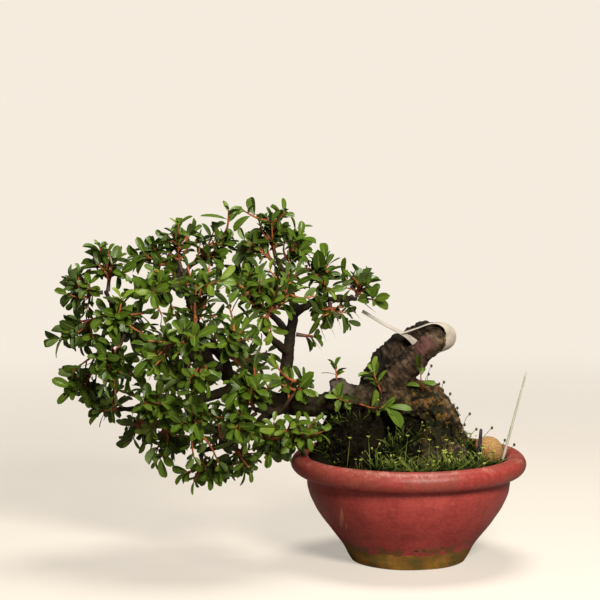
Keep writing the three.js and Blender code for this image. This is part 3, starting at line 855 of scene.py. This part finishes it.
swollen(wood_mesh, bark_relief)
places = np.array([v.co for v in wood_mesh.vertices])
facing = np.array([n.vector for n in wood_mesh.vertex_normals])
mossy = (places[:, 0] > -30 * MM) & (places[:, 2] < 155 * MM) & (places[:, 2] > 92 * MM)
patchy = np.array([steps(clouds(Vector(p), 11 * MM, 2), -0.05, 0.35) for p in places])
write_attribute(wood_mesh, "cover", mossy * patchy * np.clip(0.35 + facing[:, 2], 0, 1))

bark, shader, place = new_finish("bark", 0.82, specular=0.12)
x, y, z = node("ShaderNodeSeparateXYZ", {0: place}).outputs
coarse = weathering(place, 13 * MM, 1.5 * MM)
flaky = weathering(place, 4 * MM, 0.8 * MM)
cracks = weathering(stretched(place, (1, 1, 0.45)), 6 * MM, 1.6 * MM)
tilted = node("ShaderNodeMapping", {"Vector": place, "Rotation": (0, LIMB_TILT, 0)}).outputs["Vector"]
rings = weathering(stretched(tilted, (1, 0.16, 0.16)), 2.2 * MM, 0.9 * MM)
ridge = attribute(shader, "ridge")
old_base = product(rise(z, 168 * MM, 150 * MM), rise(x, -30 * MM, 0.0))
orange = product(old_base, rise(product(coarse["Patches"], flaky["Patches"]), 0.28, 0.60))
orange = product(orange, rise(z, 112 * MM, 136 * MM, 0.35))
shaded = product(rise(z, 140 * MM, 112 * MM), rise(flaky["Patches"], 0.9, 0.2))
green = product(old_base, product(flaky["Patches"], coarse["Grain"]))
arm = rise(x, -22 * MM, -55 * MM)
far_limb = product(rise(y, 0.0, 9 * MM), rise(z, 148 * MM, 160 * MM))
crown_wood = rise(x, -90 * MM, -125 * MM)
rosy = spot(place, (10, -22, 196), (13, 14, 9), 9)
wound = spot(place, (33, -13, 199), (3.4, 6, 5), 4)
sawn = spot(place, (-60, -18, 158), (13, 12, 11), 6)
skin = coated(
    mix(coarse["Patches"], (0.030, 0.018, 0.010), (0.092, 0.053, 0.028)),
    (rings["Patches"], 0.40, (0.165, 0.105, 0.062)),
    (flaky["Grain"], 0.60, (0.012, 0.008, 0.005)),
    # Painted shade: the bark is painted darker in its hollows.
    (rise(ridge, 0.3, -1.5), 1, (0.008, 0.005, 0.004)),
    (rise(cracks["Patches"], 0.5, 0.3), 0.65, (0.010, 0.007, 0.005)),
    # Painted highlight: raised bark is painted lighter.
    (rise(ridge, 0.4, 2.2), 0.5, (0.24, 0.165, 0.10)),
    (orange, 0.62, (0.30, 0.130, 0.034)),
    (shaded, 0.85, (0.012, 0.008, 0.005)),
    (green, 0.55, (0.055, 0.075, 0.012)),
    # Painted shade: the arm, under the crown, is painted darker.
    (arm, 0.60, (0.020, 0.013, 0.009)),
    (product(arm, rise(flaky["Patches"], 0.5, 0.8)), 0.5, (0.05, 0.07, 0.012)),
    # The far limb is painted near black: partly painted shade behind the near limb, partly dark wet bark.
    (far_limb, 0.80, (0.010, 0.008, 0.007)),
    (crown_wood, 0.6, (0.030, 0.018, 0.011)),
    (rosy, 0.7, (0.115, 0.045, 0.040)),
    (wound, 0.85, (0.50, 0.24, 0.06)),
    (sawn, 0.6, (0.17, 0.135, 0.105)),
)
relief = node("ShaderNodeMath", {0: flaky["Height"], 1: rings["Height"]}, operation="ADD").outputs[0]
paint(shader, skin, relief, 1.1 * MM, 0.8)
new_piece("old_wood", wood_mesh, bark, "bark", "trunk")

tuft = plant("tuft", 6, 1.1, 0.07, 0.2, 4)
capsules = plant("capsules", 1, 0.5, 0.018, 0.15, 5, capsule=0.06)
# The tallest spore capsules of the moss stand out against the light along the right edge of the wood.
CAPSULE_TIPS = [  # across, and height
    (20, 174), (17, 168), (26, 160), (31, 160), (36, 151), (43, 137),
    (54, 132), (50, 121), (60, 118), (74, 119), (85, 109), (94, 104),
]
stalks = bmesh.new()
for x, z in CAPSULE_TIPS:
    tip = Vector((x, rnd.uniform(-16, 2), z)) * MM
    base = ground.find_nearest(tip - Vector((3.5, 0, 9)) * MM)[0]
    bend_point = base.lerp(tip, 0.6) + Vector((-1.0, 0, 0)) * MM
    stalk = rod("stalk", [(*base, 0.28 * MM), (*bend_point, 0.24 * MM), (*tip, 0.2 * MM)], 5, 3)
    stalks.from_mesh(stalk)
    bpy.data.meshes.remove(stalk)
    shape = Matrix.Translation(tip) @ Matrix.Diagonal((1.15 * MM, 1.15 * MM, 1.5 * MM, 1))
    bmesh.ops.create_icosphere(stalks, subdivisions=2, radius=1, matrix=shape)
stalk_mesh = mesh_from(stalks, "tall capsules")
stalk_mesh.shade_smooth()
ripe_capsules, shader, place = new_finish("ripe capsules", 0.6)
mottled = weathering(place, 3 * MM, 0.6 * MM)
skin = mix(mottled["Patches"], (0.020, 0.022, 0.006), (0.060, 0.072, 0.012))
paint(shader, skin)
new_piece("tall_capsules", stalk_mesh, ripe_capsules, "moss")
sow("bark_tufts", wood_mesh, tuft, 60000.0, (1.6, 4.0), 17, tuft_finish)
sow("bark_capsules", wood_mesh, capsules, 3200.0, (7.0, 14.0), 18, capsule_finish)
for model in (tuft, capsules):
    bpy.data.objects.remove(model)

# ---- Leafy shoots --------------------------------------------------------------------------------------
# Each shoot of the crown is a woody twig that forks into thin red ones. Glossy leaves with blunt ends
# stand round them in a spiral, close together at the tips, among long straight spines.
GOLDEN_ANGLE = math.pi * (3 - math.sqrt(5))


def leaf_model(name, half_width, fold, bend, twist, collection):
    """One leaf, one unit long from its stalk at the origin along X, with its upper side to +Z."""
    thickness = 0.012
    stations = (0.09, 0.24, 0.42, 0.60, 0.78, 0.92)

    def shaped(t, across, lift):
        width = half_width * (t**0.9 * (1 - t) ** 0.45) / 0.4236 if t > 0.1 else 0.018
        y = across * width
        z = fold * abs(y) * 0.9 - bend * t * t + lift
        turn = twist * t
        return (t, y * math.cos(turn) - z * math.sin(turn) * 0.3, z + y * math.sin(turn))

    verts = [(0, 0, 0)]
    across_values, along_values = [0.0], [0.0]
    for t in stations:
        for across, lift in ((-1, 0), (-0.5, 0.012), (0, 0.002), (0.5, 0.012), (1, 0), (0, -thickness)):
            verts.append(shaped(t, across, lift))
            across_values.append(across)
            along_values.append(t)
    verts.append(shaped(1.0, 0, 0))
    across_values.append(0.0)
    along_values.append(1.0)
    mesh = tube_mesh(name, verts, 6)
    mesh.set_sharp_from_angle(angle=math.radians(60))
    under = [float(side >= 4) for side in range(6) for _ in range(len(stations) + 1)]
    write_attribute(mesh, "under", under, domain="FACE")
    write_attribute(mesh, "across", across_values)
    write_attribute(mesh, "along", along_values)
    collection.objects.link(bpy.data.objects.new(name, mesh))


leaves = bpy.data.collections.new("leaves")
scene.collection.children.link(leaves)
LEAF_FORMS = [  # half the width, and how far it folds, bends and twists
    (0.20, 0.25, 0.10, 0.1), (0.215, 0.55, 0.22, -0.25), (0.19, 0.12, 0.30, 0.3), (0.235, 0.8, 0.16, 0.15),
]
for i, form in enumerate(LEAF_FORMS):
    leaf_model(f"leaf_{i}", *form, leaves)

LEAFING, given, taken = new_tree(
    "GeometryNodeTree",
    "leafing",
    {
        "Geometry": "Geometry",
        "Leaves": "Collection",
        "Twig Sides": "Int",
        "Turn To Light": "Float",
        "Twig Material": "Material",
        "Leaf Material": "Material",
    },
    {"Geometry": "Geometry"},
)


stems = node("GeometryNodeMeshToCurve", {"Mesh": given["Geometry"]}).outputs["Curve"]
section = node("GeometryNodeCurvePrimitiveCircle", {"Resolution": given["Twig Sides"], "Radius": 1.0})
sockets = {"Curve": stems, "Profile Curve": section.outputs["Curve"], "Fill Caps": True}
sockets["Scale"] = named(LEAFING, "girth")
tube = node("GeometryNodeCurveToMesh", sockets).outputs["Mesh"]
tube = node("GeometryNodeSetMaterial", {"Geometry": tube, "Material": given["Twig Material"]}).outputs[0]
sockets = {"Mesh": given["Geometry"], "Selection": named(LEAFING, "site", "BOOLEAN")}
sites = node("GeometryNodeMeshToPoints", sockets).outputs["Points"]
sockets = {"Vector": named(LEAFING, "heading", "FLOAT_VECTOR")}
pose = node("FunctionNodeAlignRotationToVector", sockets, axis="Z").outputs[0]
for axis, angle in (((0, 0, 1), named(LEAFING, "spin")), ((0, 1, 0), named(LEAFING, "lean"))):
    turn = node("FunctionNodeAxisAngleToRotation", {"Axis": axis, "Angle": angle}).outputs[0]
    sockets = {"Rotation": pose, "Rotate By": turn}
    pose = node("FunctionNodeRotateRotation", sockets, rotation_space="LOCAL").outputs[0]
sockets = {"Rotation": pose, "Factor": given["Turn To Light"], "Vector": (0.15, -0.45, 1.0)}
pose = node("FunctionNodeAlignRotationToVector", sockets, axis="Z", pivot_axis="X").outputs[0]
sockets = {"Collection": given["Leaves"], "Separate Children": True, "Reset Children": True}
models = node("GeometryNodeCollectionInfo", sockets).outputs[0]
sockets = {4: 0, 5: len(LEAF_FORMS) - 1, 8: 3}
choice = node("FunctionNodeRandomValue", sockets, tree=LEAFING, data_type="INT").outputs[2]
sockets = {"Points": sites, "Instance": models, "Pick Instance": True, "Instance Index": choice}
sockets.update({"Rotation": pose, "Scale": named(LEAFING, "size")})
copies = node("GeometryNodeInstanceOnPoints", sockets).outputs["Instances"]
whole = node("GeometryNodeRealizeInstances", {"Geometry": copies}).outputs["Geometry"]
sockets = {"Geometry": whole, "Material": given["Leaf Material"]}
foliage_mesh = node("GeometryNodeSetMaterial", sockets).outputs["Geometry"]
both = node("GeometryNodeJoinGeometry", {0: tube})
link(foliage_mesh, both.inputs[0])
link(both.outputs[0], taken.inputs["Geometry"])


def leaf_finish(name, dark, middle, young):
    """Glossy above, pale below, light midrib. A low `tone` is for old leaves and for painted shade; 1 is
    young.
    """
    material, shader, place = new_finish(name, 0.30, specular=0.26)
    tone, across, along = (attribute(shader, a) for a in ("tone", "across", "along"))
    blade = coated(
        mix(rise(tone, 0.0, 0.55), dark, middle),
        (rise(tone, 0.55, 1.0), 1, young),
    )
    cloudy = weathering(place, 6 * MM, 0.9 * MM)
    blade = coated(
        blade,
        (cloudy["Patches"], 0.25, dark),
        (cloudy["Grain"], 0.12, young),
    )
    aside = node("ShaderNodeMath", {0: across}, operation="ABSOLUTE").outputs[0]
    rib = product(rise(aside, 0.16, 0.02), rise(along, 1.05, 0.1))
    blade = coated(
        blade,
        (rib, 0.75, (0.32, 0.40, 0.12)),
        (rise(along, 0.12, 0.0), 0.6, (0.30, 0.20, 0.06)),
    )
    under = attribute(shader, "under")
    pale = mix(cloudy["Patches"], (0.11, 0.17, 0.045), (0.16, 0.23, 0.065))
    link(scaled(under, 0.3, 0.28), shader.inputs["Roughness"])
    veins = scaled(rib, -0.6, cloudy["Height"])
    paint(shader, mix(scaled(under, 0.8), blade, pale), veins, 0.35 * MM, 0.5)
    return material


LEAF_GREENS = (0.026, 0.050, 0.004), (0.080, 0.142, 0.009), (0.19, 0.27, 0.024)
YOUNG_GREENS = (0.045, 0.080, 0.006), (0.085, 0.145, 0.010), (0.18, 0.26, 0.03)
foliage = leaf_finish("foliage", *LEAF_GREENS)
young_foliage = leaf_finish("young foliage", *YOUNG_GREENS)

twig_finish, shader, place = new_finish("twig bark", 0.6)
ripe = attribute(shader, "ripe")
speckled = weathering(place, 4 * MM, 0.7 * MM)
red = mix(speckled["Patches"], (0.27, 0.060, 0.018), (0.46, 0.140, 0.035))
brown = mix(speckled["Grain"], (0.035, 0.022, 0.013), (0.085, 0.050, 0.028))
skin = coated(
    mix(rise(ripe, 0.2, 1.0), red, brown),
    (rise(ripe, 1.2, 2.0), 1, (0.26, 0.22, 0.17)),
)
paint(shader, skin, speckled["Height"], 0.4 * MM, 0.6)


class Plan:
    """The lines of a shoot's twigs and spines and the sites of its leaves, before they get bodies."""

    def __init__(self, seed):
        self.rnd = random.Random(seed)
        self.verts, self.edges, self.rows = [], [], []

    def add(self, point, girth=0.0, ripe=0.0):
        return self.keep(point, (girth, ripe, False, (0, 0, 1), 0.0, 0.0, 0.0, 0.0))

    def add_leaf(self, point, heading, spin, lean, size, tone):
        self.keep(point, (0.0, 0.0, True, tuple(heading), spin, lean, size, tone))

    def keep(self, point, row):
        self.verts.append(tuple(point))
        self.rows.append(row)
        return len(self.verts) - 1

    def line(self, start, end, bow, girths, ripe):
        """A bent twig. Returns its points and its headings."""
        span = end - start
        rnd = self.rnd
        side = span.cross(Vector([rnd.uniform(-1, 1) for _ in range(3)])).normalized()
        middle = start.lerp(end, 0.5) + side * span.length * bow + Vector((0, 0, -0.03)) * span.length
        points = [Vector(p) for p in smooth_line([start, middle, end], 4)]
        headings = [(b - a).normalized() for a, b in zip(points, points[1:])]
        headings.append(headings[-1])
        last = None
        for k, point in enumerate(points):
            t = k / (len(points) - 1)
            girth = girths[0] + (girths[1] - girths[0]) * t
            index = self.add(point, girth, ripe[0] + (ripe[1] - ripe[0]) * t)
            if last is not None:
                self.edges.append((last, index))
            last = index
        return points, headings

    def leaf_row(self, points, headings, first, count, length, tone, spin):
        """Leaves in a spiral from the share `first` of the twig to its tip, the last ones crowded."""
        rnd = self.rnd
        for k in range(count):
            share = k / max(count - 1, 1)
            t = first + (1 - first) * (1 - (1 - share) ** 1.3)
            station = t * (len(points) - 1)
            i = min(int(station), len(points) - 2)
            # The leaves in the middle of the row are the longest.
            swell = 0.80 + 0.30 * math.sin(math.pi * min(share + 0.15, 1))
            self.add_leaf(
                points[i].lerp(points[i + 1], station - i),
                headings[i],
                spin=spin + GOLDEN_ANGLE * k + rnd.uniform(-0.3, 0.3),
                lean=-math.radians(90 - (66 - 34 * share + rnd.uniform(-14, 14))),
                size=length * swell * rnd.uniform(0.66, 1.15),
                tone=min(max(tone + 0.28 * (share - 0.5) + rnd.uniform(-0.2, 0.2), 0), 1),
            )

    def spine(self, start, way, length):
        tip = start + way.normalized() * length
        base = self.add(start, 0.42 * MM, 1.3)
        middle = self.add(start.lerp(tip, 0.5), 0.27 * MM, 1.8)
        self.edges.append((base, middle))
        self.edges.append((middle, self.add(tip, 0.06 * MM, 2.0)))

    def mesh(self):
        made = bpy.data.meshes.new("plan")
        made.from_pydata(self.verts, self.edges, [])
        kinds = ("girth", "ripe", "site", "heading", "spin", "lean", "size", "tone")
        for name, column in zip(kinds, zip(*self.rows)):
            kind = {"site": "BOOLEAN", "heading": "FLOAT_VECTOR"}.get(name, "FLOAT")
            write_attribute(made, name, column, kind)
        return made


def reach_of(node_name):
    """Where a CAD shoot leaves the wood, the half of its points that is farther out, and their middle."""
    points = [v.co.copy() for v in frame["nodes"][node_name].data.vertices]
    foot = min(points, key=lambda p: wood_finder.find_nearest(p)[3])
    outer = sorted(points, key=lambda p: (p - foot).length)[len(points) // 2 :]
    return foot, outer, sum(outer, Vector()) / len(outer)


def spread_out(points, count):
    """So many of the points, each as far as it goes from those before it."""
    chosen = [points[-1]]
    while len(chosen) < count:
        chosen.append(max(points, key=lambda p: min((p - c).length for c in chosen)))
    return chosen


FORKS, LEAF_LENGTH = 10, 17 * MM
LONG_TWIGS = [  # where each ends, and the length of its leaves
    ((-250, -20, 258), 16), ((-196, -30, 268), 15), ((-176, -35, 268), 15), ((-217, -45, 224), 17),
    ((-158, -70, 236), 25), ((-140, -60, 222), 22), ((-122, -55, 212), 17), ((-118, -45, 180), 15),
    ((-118, -45, 166), 15), ((-244, -40, 172), 16), ((-244, -40, 154), 17), ((-84, -30, 240), 16),
    ((-160, -55, 148), 18), ((-286, -10, 226), 16), ((-160, -10, 314), 20), ((-146, -12, 313), 18),
    ((-312, 0, 197), 18), ((-300, -10, 156), 17), ((-223, -12, 92), 17), ((-199, -12, 80), 18),
    ((-176, -12, 80), 17), ((-32, -20, 236), 18), ((-205, -70, 172), 23), ((-166, -75, 258), 20),
    ((-268, -30, 190), 16), ((-225, -60, 246), 16), ((-100, -40, 262), 15), ((-135, -65, 128), 18),
    ((-252, -45, 240), 16), ((-215, -60, 210), 17), ((-205, -55, 152), 16), ((-172, -60, 142), 17),
    ((-111, -50, 124), 16), ((-95, -45, 122), 15), ((-190, -40, 98), 16), ((-168, -45, 94), 16),
    ((-205, -10, 302), 15), ((-111, -10, 312), 15), ((-274, -10, 282), 15), ((-292, -5, 260), 15),
    ((-70, -30, 244), 16), ((-156, -60, 196), 18), ((-138, -50, 186), 17), ((-124, -40, 264), 15),
    ((-85, -40, 130), 15), ((-100, -45, 131), 15), ((-120, -45, 131), 15), ((-77, -35, 121), 14),
    ((-282, -20, 250), 16), ((-233, -40, 226), 16), ((-207, -40, 229), 16), ((-218, -30, 257), 15),
    ((-279, -25, 202), 16), ((-236, -45, 162), 16), ((-259, -40, 148), 15), ((-268, -35, 160), 15),
    ((-170, -50, 224), 17), ((-131, -50, 224), 16), ((-107, -30, 272), 15), ((-240, 10, 245), 16),
    ((-232, -30, 205), 15), ((-180, -60, 178), 17), ((-150, -50, 168), 16), ((-228, -35, 122), 16),
]
# Between the crown and the trunk lies an opening where no twig reaches.
OPENING_LOW, OPENING_HIGH = Vector((-98, 0, 166)) * MM, Vector((-38, 0, 213)) * MM
LONG_SPINES = [  # those that stick out of the crown on the side of the trunk, from foot to tip
    ((-74, -20, 220), (-66, -24, 203)), ((-65, -22, 223), (-61, -26, 210)),
    ((-51, -20, 227), (-44, -24, 219)), ((-80, -22, 214), (-74, -28, 199)),
    ((-40, -18, 232), (-30, -22, 224)), ((-88, -30, 205), (-78, -34, 192)),
]


def nearest_shoot(place):
    return min(shoots, key=lambda name: (shoots[name][2] - place).length)


def grow_shoot(piece_name, plan, sides, turn_to_light, leaf_material, slot, node_name):
    inputs = {"Leaves": leaves, "Twig Sides": sides, "Turn To Light": turn_to_light}
    inputs.update({"Twig Material": twig_finish, "Leaf Material": leaf_material})
    new_piece(piece_name, grown(node_name, plan.mesh(), LEAFING, inputs), None, slot, node_name)


shoots = {name: reach_of(name) for name in sorted(frame["nodes"]) if name.startswith("leafy_shoot_")}
extra = {name: [] for name in shoots}
for place, length in LONG_TWIGS:
    end = Vector(place) * MM
    extra[nearest_shoot(end)].append((end, length * MM))
spines = {name: [] for name in shoots}
for start, tip in LONG_SPINES:
    start, tip = Vector(start) * MM, Vector(tip) * MM
    spines[nearest_shoot(start)].append((start, tip))
for number, (name, (foot, outer, middle)) in enumerate(shoots.items(), 1):
    plan = Plan(number)
    rnd = plan.rnd
    # Shoots whose middle lies farther back get a lower tone: painted shade deep in the crown. The rest is
    # random age.
    age_and_depth_shade = rnd.uniform(0.25, 0.55) - 0.25 * steps(middle.y, -50 * MM, 40 * MM)
    line, headings = plan.line(foot, middle, 0.07, (2.0 * MM, 0.95 * MM), (1.0, 0.35))
    plan.leaf_row(line, headings, 0.5, 6, LEAF_LENGTH, age_and_depth_shade, rnd.uniform(0, 6))
    for k, end in enumerate(spread_out(outer, FORKS)):
        if OPENING_LOW.x < end.x < OPENING_HIGH.x and OPENING_LOW.z < end.z < OPENING_HIGH.z:
            continue
        share = 0.22 + 0.72 * k / FORKS
        i = min(int(share * (len(line) - 1)), len(line) - 2)
        start = line[i].lerp(line[i + 1], share * (len(line) - 1) - i)
        aim = end + Vector((rnd.uniform(-6, 6), rnd.uniform(-6, 6), rnd.uniform(-4, 6))) * MM
        reach = min(max((aim - start).length * rnd.uniform(0.66, 0.88), 12 * MM), 42 * MM)
        end = start + (aim - start).normalized() * reach
        bow = rnd.uniform(-0.14, 0.14)
        side_line, side_headings = plan.line(start, end, bow, (1.3 * MM, 0.5 * MM), (0.5, 0.0))
        count = 3 + round(reach / (9 * MM))
        length = LEAF_LENGTH * rnd.uniform(0.78, 1.18)
        tone = age_and_depth_shade + rnd.uniform(-0.1, 0.2)
        plan.leaf_row(side_line, side_headings, 0.22, count, length, tone, rnd.uniform(0, 6))
        if k % 3 == 0:
            aside = Vector((rnd.uniform(-1, 1), rnd.uniform(-1, 1), rnd.uniform(-1, 0.4)))
            plan.spine(side_line[3], (side_headings[3] + aside).normalized(), rnd.uniform(10, 16) * MM)
    for end, length in extra[name]:
        start = min(line[2:], key=lambda p: (p - end).length)
        side_line, side_headings = plan.line(start, end, 0.08, (1.4 * MM, 0.6 * MM), (0.4, 0.0))
        plan.leaf_row(side_line, side_headings, 0.45, 6, length, age_and_depth_shade + 0.3, rnd.uniform(0, 6))
    for start, tip in spines[name]:
        plan.spine(start, tip - start, (tip - start).length)
    grow_shoot(f"shoot_{number:02d}", plan, 7, 0.35, foliage, "foliage", name)

# ---- Sprouts on the old wood ---------------------------------------------------------------------------
# Young shoots that break straight out of the trunk and the stub: short red twigs with a few brighter
# leaves. The lowest one is long and ends in broad leaves.
SPROUTS = {  # leaves, and their length
    "trunk_sprout_1": (8, 13 * MM),
    "trunk_sprout_2": (11, 15 * MM),
    "trunk_sprout_3": (4, 15 * MM),
    "trunk_sprout_4": (10, 14 * MM),
    "trunk_sprout_5": (10, 14 * MM),
}
BROAD_LEAVES = {  # which way each of those at the end of a sprout points, and its length
    "trunk_sprout_4": (
        ((0.93, -0.30, 0.20), 23 * MM),
        ((0.66, -0.40, -0.66), 23 * MM),
        ((0.45, -0.1, 0.85), 12 * MM),
    ),
    "trunk_sprout_3": (((-0.25, -0.2, 0.95), 17 * MM),),
}
for number, (name, (count, length)) in enumerate(SPROUTS.items(), 1):
    foot, _, middle = reach_of(name)
    plan = Plan(200 + number)
    line, headings = plan.line(foot, middle, 0.05, (0.95 * MM, 0.5 * MM), (0.4, 0.0))
    plan.leaf_row(line, headings, 0.25, count, length, 0.6, number)
    for way, length in BROAD_LEAVES.get(name, ()):
        plan.add_leaf(line[-1], way, spin=0.0, lean=-math.pi / 2, size=length, tone=0.55)
    grow_shoot(f"sprout_{number}", plan, 6, 0.2, young_foliage, "young_foliage", name)
for model in list(leaves.objects):
    bpy.data.objects.remove(model)
bpy.data.collections.remove(leaves)

# ---- Fertiliser ball -----------------------------------------------------------------------------------
# A ball of pressed rapeseed meal. Its upper right is smooth and ochre, and its lower left has gone
# red-brown and is crumbling away. The colour also holds painted light on the upper right and painted
# shade on the lower left.
BALL_MIDDLE, BALL_RADIUS = Vector((70.5, -9, 98.7)) * MM, 13.2 * MM
SOUND_AND_LIT_SIDE = Vector((0.70, -0.05, 0.70)).normalized()

bm = bmesh.new()
bmesh.ops.create_icosphere(bm, subdivisions=6, radius=BALL_RADIUS, matrix=Matrix.Translation(BALL_MIDDLE))
ball_mesh = mesh_from(bm, "ball")


def crumbling(place, facing):
    decayed_and_shaded = 1 - steps(facing.dot(SOUND_AND_LIT_SIDE) + 0.35 * clouds(place, 7 * MM, 2), -0.1, 0.55)
    return (clouds(place, 3.2 * MM) * 1.5 * decayed_and_shaded + clouds(place, 9 * MM, 2) * 0.35 - 0.35 * decayed_and_shaded) * MM


swollen(ball_mesh, crumbling)
meal, shader, place = new_finish("pressed meal", 0.93)
sound_and_lit = node("ShaderNodeVectorMath", {0: place, 1: BALL_MIDDLE}, operation="SUBTRACT").outputs[0]
sound_and_lit = node("ShaderNodeVectorMath", {0: sound_and_lit, 1: SOUND_AND_LIT_SIDE}, operation="DOT_PRODUCT").outputs["Value"]
coarse = weathering(place, 5 * MM, 1.0 * MM)
spread_mask = rise(scaled(coarse["Patches"], 7 * MM, sound_and_lit), -1 * MM, 8 * MM)
# Ochre crust on the upper right, partly painted light. Red-brown decay on the lower left, partly painted
# shade.
lit_crust = mix(coarse["Grain"], (0.22, 0.115, 0.033), (0.46, 0.27, 0.095))
decayed_and_shaded = mix(coarse["Grain"], (0.12, 0.035, 0.012), (0.42, 0.15, 0.04))
paint(shader, mix(spread_mask, decayed_and_shaded, lit_crust), coarse["Height"], 0.9 * MM, 0.7)
new_piece("fertiliser_cake", ball_mesh, meal, "fertiliser", "fertiliser_ball")


# ---- Wire pin ------------------------------------------------------------------------------------------
# A piece of black-coated wire, bent double and pushed into the soil beside the ball.
PIN_WIRE = 1.15
PIN = [
    (57.6, -43.4, 79), (58.5, -42.4, 95), (60.0, -40.6, 112), (61.0, -39.5, 121), (61.3, -38.9, 123),
    (61.6, -38.4, 121), (61.3, -38.4, 112), (60.6, -38.4, 95), (60.0, -38.6, 79),
]
pin_mesh = rod("pin", np.array([(*p, PIN_WIRE) for p in PIN]) * MM, 12)
coating, shader, place = new_finish("black coating", 0.42)
worn = weathering(place, 6 * MM, 0.8 * MM)
skin = mix(scaled(worn["Grain"], 0.5), (0.010, 0.010, 0.016), (0.05, 0.05, 0.06))
paint(shader, skin)
link(scaled(worn["Patches"], 0.25, 0.35), shader.inputs["Roughness"])
new_piece("bent_pin", pin_mesh, coating, "black_wire", "wire_pin")

# ---- Marker stick --------------------------------------------------------------------------------------
# A slim split of pale bamboo, pushed in against the wall of the pot and leaning out over the rim.
STICK = [(79, 4, 66, 1.4), (87.6, 4.1, 100, 1.3), (96.4, 3.9, 134, 1.05), (105, 4, 168, 0.85)]
stick_mesh = rod("stick", np.array(STICK) * MM, 10)
bamboo, shader, place = new_finish("pale bamboo", 0.55)
grained = weathering(stretched(place, (1, 1, 0.08)), 3 * MM, 0.8 * MM)
skin = coated(
    mix(grained["Patches"], (0.46, 0.45, 0.33), (0.63, 0.62, 0.50)),
    (grained["Grain"], 0.35, (0.30, 0.30, 0.18)),
)
paint(shader, skin, grained["Height"], 0.3 * MM, 0.5)
new_piece("bamboo_marker", stick_mesh, bamboo, "pale_stick", "marker_stick")

# ---- Strap label ---------------------------------------------------------------------------------------
# A blank strap of soft white plastic, cut from flat sheet. It goes through the eye between the two limbs
# and round the bend, and its wide end is threaded on its own narrow tail.
STRAP = [  # where it runs, the way its width lies, and its width
    ((-42, -6, 224), (0, 0.75, 0.66), 4),
    ((-24, -7, 213.5), (0, 0.75, 0.66), 4),
    ((-5, -8, 203.5), (0.1, 0.7, 0.7), 5),
    ((5, -3, 195), (0.4, 0.5, 0.7), 7),
    ((14, 3, 184.5), (0.3, 0.85, 0.3), 9),
    ((24.5, 3, 185), (0.5, 0.8, 0.2), 10),
    ((32.8, 0, 190), (0.7, 0.7, 0), 10.5),
    ((36.8, -2, 196), (0.80, 0.60, 0), 11),
    ((36.6, -3, 204), (0.78, 0.6, 0.1), 11),
    ((30.5, -4, 211), (0.45, 0.88, 0.1), 10),
    ((20, -5, 213), (0.1, 0.98, -0.02), 8),
    ((7, -7, 209), (0.1, 0.98, 0.0), 7),
    ((-7, -8.5, 204.5), (0.1, 0.95, 0.1), 6),
]
STRAP_THICKNESS = 0.8 * MM
STRAP_SECTION = [  # its rounded outline, as shares of its width and its thickness
    (-0.5, -0.2), (-0.46, -0.5), (0.46, -0.5), (0.5, -0.2),
    (0.5, 0.2), (0.46, 0.5), (-0.46, 0.5), (-0.5, 0.2),
]
route = smooth_line([(*at, *across, width) for at, across, width in STRAP], 12)
verts = []
for k, station in enumerate(route):
    centre, across, width = Vector(station[:3]) * MM, Vector(station[3:6]), station[6] * MM
    ahead = Vector(route[min(k + 1, len(route) - 1)][:3] - route[max(k - 1, 0)][:3]).normalized()
    across = (across - ahead * across.dot(ahead)).normalized()
    face = across.cross(ahead)
    for u, v in STRAP_SECTION:
        verts.append(centre + across * u * width + face * v * STRAP_THICKNESS)
corners = len(STRAP_SECTION)
faces = [range(corners), range(len(verts) - 1, len(verts) - 1 - corners, -1)]
for low in range(0, len(verts) - corners, corners):
    for j in range(corners):
        after = (j + 1) % corners
        faces.append((low + j, low + corners + j, low + corners + after, low + after))
outline_mesh = bpy.data.meshes.new("strap outline")
outline_mesh.from_pydata(verts, [], faces)
bm = bmesh.new()
bm.from_mesh(outline_mesh)
bmesh.ops.recalc_face_normals(bm, faces=bm.faces)
strap_mesh = mesh_from(bm, "strap")
strap_mesh.shade_smooth()
strap_mesh.set_sharp_from_angle(angle=math.radians(50))
plastic, shader, place = new_finish("soft white plastic", 0.42)
parts = node("ShaderNodeSeparateXYZ", {0: place}).outputs
soiled = weathering(place, 9 * MM, 1.0 * MM)
skin = coated(
    mix(soiled["Patches"], (0.44, 0.39, 0.31), (0.54, 0.49, 0.41)),
    (soiled["Grain"], 0.15, (0.34, 0.29, 0.21)),
    # Painted shade: the strap is painted darker towards its left end.
    (rise(parts["X"], 6 * MM, -8 * MM), 0.6, (0.36, 0.32, 0.29)),
)
paint(shader, skin, soiled["Height"], 0.2 * MM, 0.3)
new_piece("strap", strap_mesh, plastic, "white_plastic", "strap_label")
